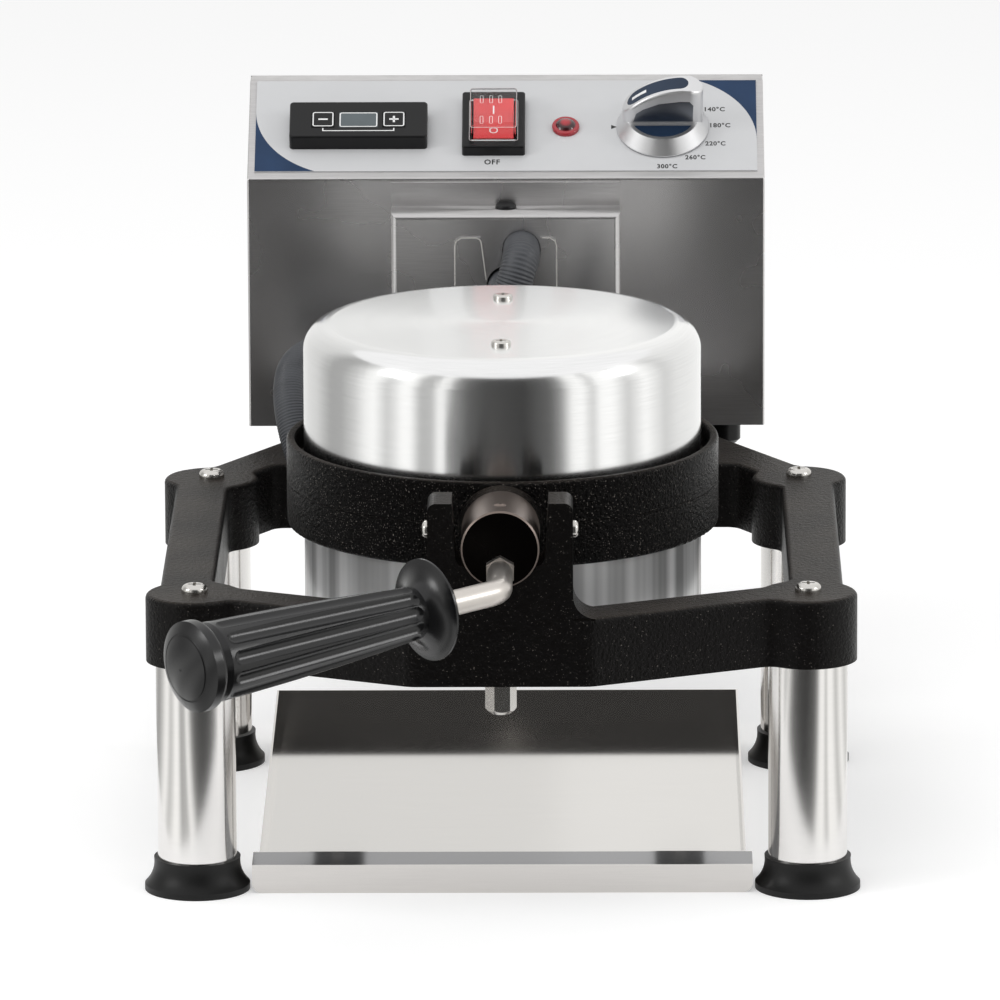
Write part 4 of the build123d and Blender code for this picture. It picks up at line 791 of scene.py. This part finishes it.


# the rocker's two marks, each on its own slope of the rocker, and on its clear cover two rows of white bars of painted
# reflection and painted highlights along its edges
rockerMarks = {"u": -6.3, "v": 36.99, "pivot": 1.1, "tilt": 8,
               "round": {"at": (-6.6, 6.2), "slope": -11.8, "radius": 1.9, "line": 0.6},
               "stroke": {"at": (6.6, 6.5), "slope": 14.35, "reach": 2.3, "line": 0.75}}
coverPaintedLight = {"top": 15.12, "foot": 6.66, "size": (24.0, 31.0), "corner": 1.4, "edgeLine": 0.3, "edgeShift": 0.6,
              "bars": (-12.3, -7.5, -2.9), "barRows": ((24.9, 30.4), (40.7, 46.2)), "barWidth": 1.5,
              "barCorner": 0.4, "barLine": 0.22}


def rockerPlace(mark):
    r = rockerMarks
    pivot = panelPlace @ Matrix.Translation((r["u"] * mm, r["v"] * mm, r["pivot"] * mm))
    pivot = pivot @ Matrix.Rotation(math.radians(r["tilt"]), 4, "X")
    place = pivot @ Matrix.Translation((0, mark["at"][0] * mm, mark["at"][1] * mm))
    return place @ Matrix.Rotation(math.radians(mark["slope"]), 4, "X")


def makeRockerMarks():
    mark, steps = rockerMarks["round"], 24
    turns = [2 * math.pi * i / steps for i in range(steps)]
    ring = [(mark["radius"] * math.cos(a), mark["radius"] * math.sin(a)) for a in turns]
    panelStroke("rockerRound", ring, mark["line"], 0, "white", "rocker", closed=True, place=rockerPlace(mark))
    mark = rockerMarks["stroke"]
    line = [(0, -mark["reach"]), (0, mark["reach"])]
    panelStroke("rockerStroke", line, mark["line"], 0, "white", "rocker", place=rockerPlace(mark))


def makeCoverPaintedLight():
    c = coverPaintedLight
    # two rows of white bars on the clear cover: painted reflections
    spots = [(u, low, high) for low, high in c["barRows"] for u in c["bars"]]
    for count, (u, low, high) in enumerate(spots):
        outline = roundedBox(u, (low + high) / 2, c["barWidth"], high - low, c["barCorner"], 2)
        panelStroke("coverReflectionBar" + str(count), outline, c["barLine"], c["top"] * mm, "white", closed=True)
    # pale lines along the cover's top and foot edges: painted highlights
    for name, high, grown in (("coverRimHighlightTop", c["top"], -c["edgeShift"]), ("coverRimHighlightFoot", c["foot"], c["edgeShift"])):
        width, height = (side + grown for side in c["size"])
        outline = roundedBox(rockerMarks["u"], rockerMarks["v"], width, height, c["corner"])
        panelStroke(name, outline, c["edgeLine"], high * mm, "paleHighlight", closed=True)


# the knob's white mark, on the curved top of its inlay, and on each side a sheet with painted shade where its side is
# hollowed
knobMarks = {"u": 79.6, "v": 37.79, "lift": 1.0, "arcCentre": (11.15, -8.858), "arcRadius": 38.464,
             "mark": (-15.6, -8.4), "markWidth": 2.0, "markLift": 0.05, "side": 6.54,
             "shadeFoot": 8, "shadeReach": 13, "shadeLow": (0.30, 0.32, 0.36), "shadeHigh": (0.055, 0.058, 0.066),
             "hollow": [(-15.0, 9.4), (15.2, 9.4), (15.4, 20.0), (13.6, 22.4), (9.0, 22.6), (-2.0, 21.0),
                        (-10.0, 17.4), (-13.6, 14.6)]}


def knobHollowShade():
    # painted shade for the hollow: dark at the top, paler below
    material, tree, shader = newMaterial("knobHollowShade", (0.1, 0.11, 0.13), 0.3, 1.0)
    low = (panelPlace @ Vector((0, knobMarks["v"] * mm, knobMarks["shadeFoot"] * mm))).z
    share = spread(tree, placeParts(tree)["Z"], 0, 1, low, low + knobMarks["shadeReach"] * mm)
    tone = twoTone(tree, share, knobMarks["shadeLow"], knobMarks["shadeHigh"])
    tree.links.new(tone, shader.inputs["Base Color"])
    bumps(tree, shader, [(objectNoise(tree, 1500, 2), 0.2, 0.00001)])
    return material


def makeKnobMarks():
    k = knobMarks
    place = panelPlace @ Matrix.Translation((k["u"] * mm, k["v"] * mm, k["lift"] * mm))
    verts, steps = [], 8
    for i in range(steps + 1):
        u = k["mark"][0] + (k["mark"][1] - k["mark"][0]) * i / steps
        high = k["arcCentre"][1] + math.sqrt(k["arcRadius"] ** 2 - (u - k["arcCentre"][0]) ** 2) + k["markLift"]
        for side in (-0.5, 0.5):
            verts.append((u * mm, side * k["markWidth"] * mm, high * mm))
    faces = [(2 * i, 2 * i + 2, 2 * i + 3, 2 * i + 1) for i in range(steps)]
    newPiece("knobMark", meshOf("knobMark", verts, faces, place), inkAndPaintedLight["white"], "dial")
    shade = knobHollowShade()
    for name, side in (("knobShadeSheetFront", -1), ("knobShadeSheetRear", 1)):
        outline = [(u * mm, side * k["side"] * mm, n * mm) for u, n in k["hollow"]][::-side]
        newPiece(name, meshOf(name, outline, [tuple(range(len(outline)))], place), shade, "dial",
                 smooth=0)


# painted highlights along the notch plate's cut edge, on its front: its two lobes, left and right of the hoses
notchEdgeHighlight = {"front": 207.44, "width": 0.55,
             "left": [(-25.7, 212), (-25.7, 245.6), (-24.9, 248.2), (-22.3, 249.7), (-15.0, 249.7), (-13.2, 249.0),
                      (-12.4, 247.4), (-9.9, 228)],
             "right": [(25.7, 212), (25.7, 245.6), (24.9, 248.2), (22.3, 249.7), (18.3, 249.7)]}


def makeNotchEdgeHighlight():
    place = Matrix.Translation((0, notchEdgeHighlight["front"] * mm, 0)) @ Matrix.Rotation(math.pi / 2, 4, "X")
    for side in ("left", "right"):
        panelStroke("notchEdgeHighlight" + side.capitalize(), notchEdgeHighlight[side], notchEdgeHighlight["width"], 0, "brightHighlight", place=place)


makePanelPrint()
makeTimerMarks()
makeRockerMarks()
makeCoverPaintedLight()
makeKnobMarks()
makeNotchEdgeHighlight()
print("panel printed")
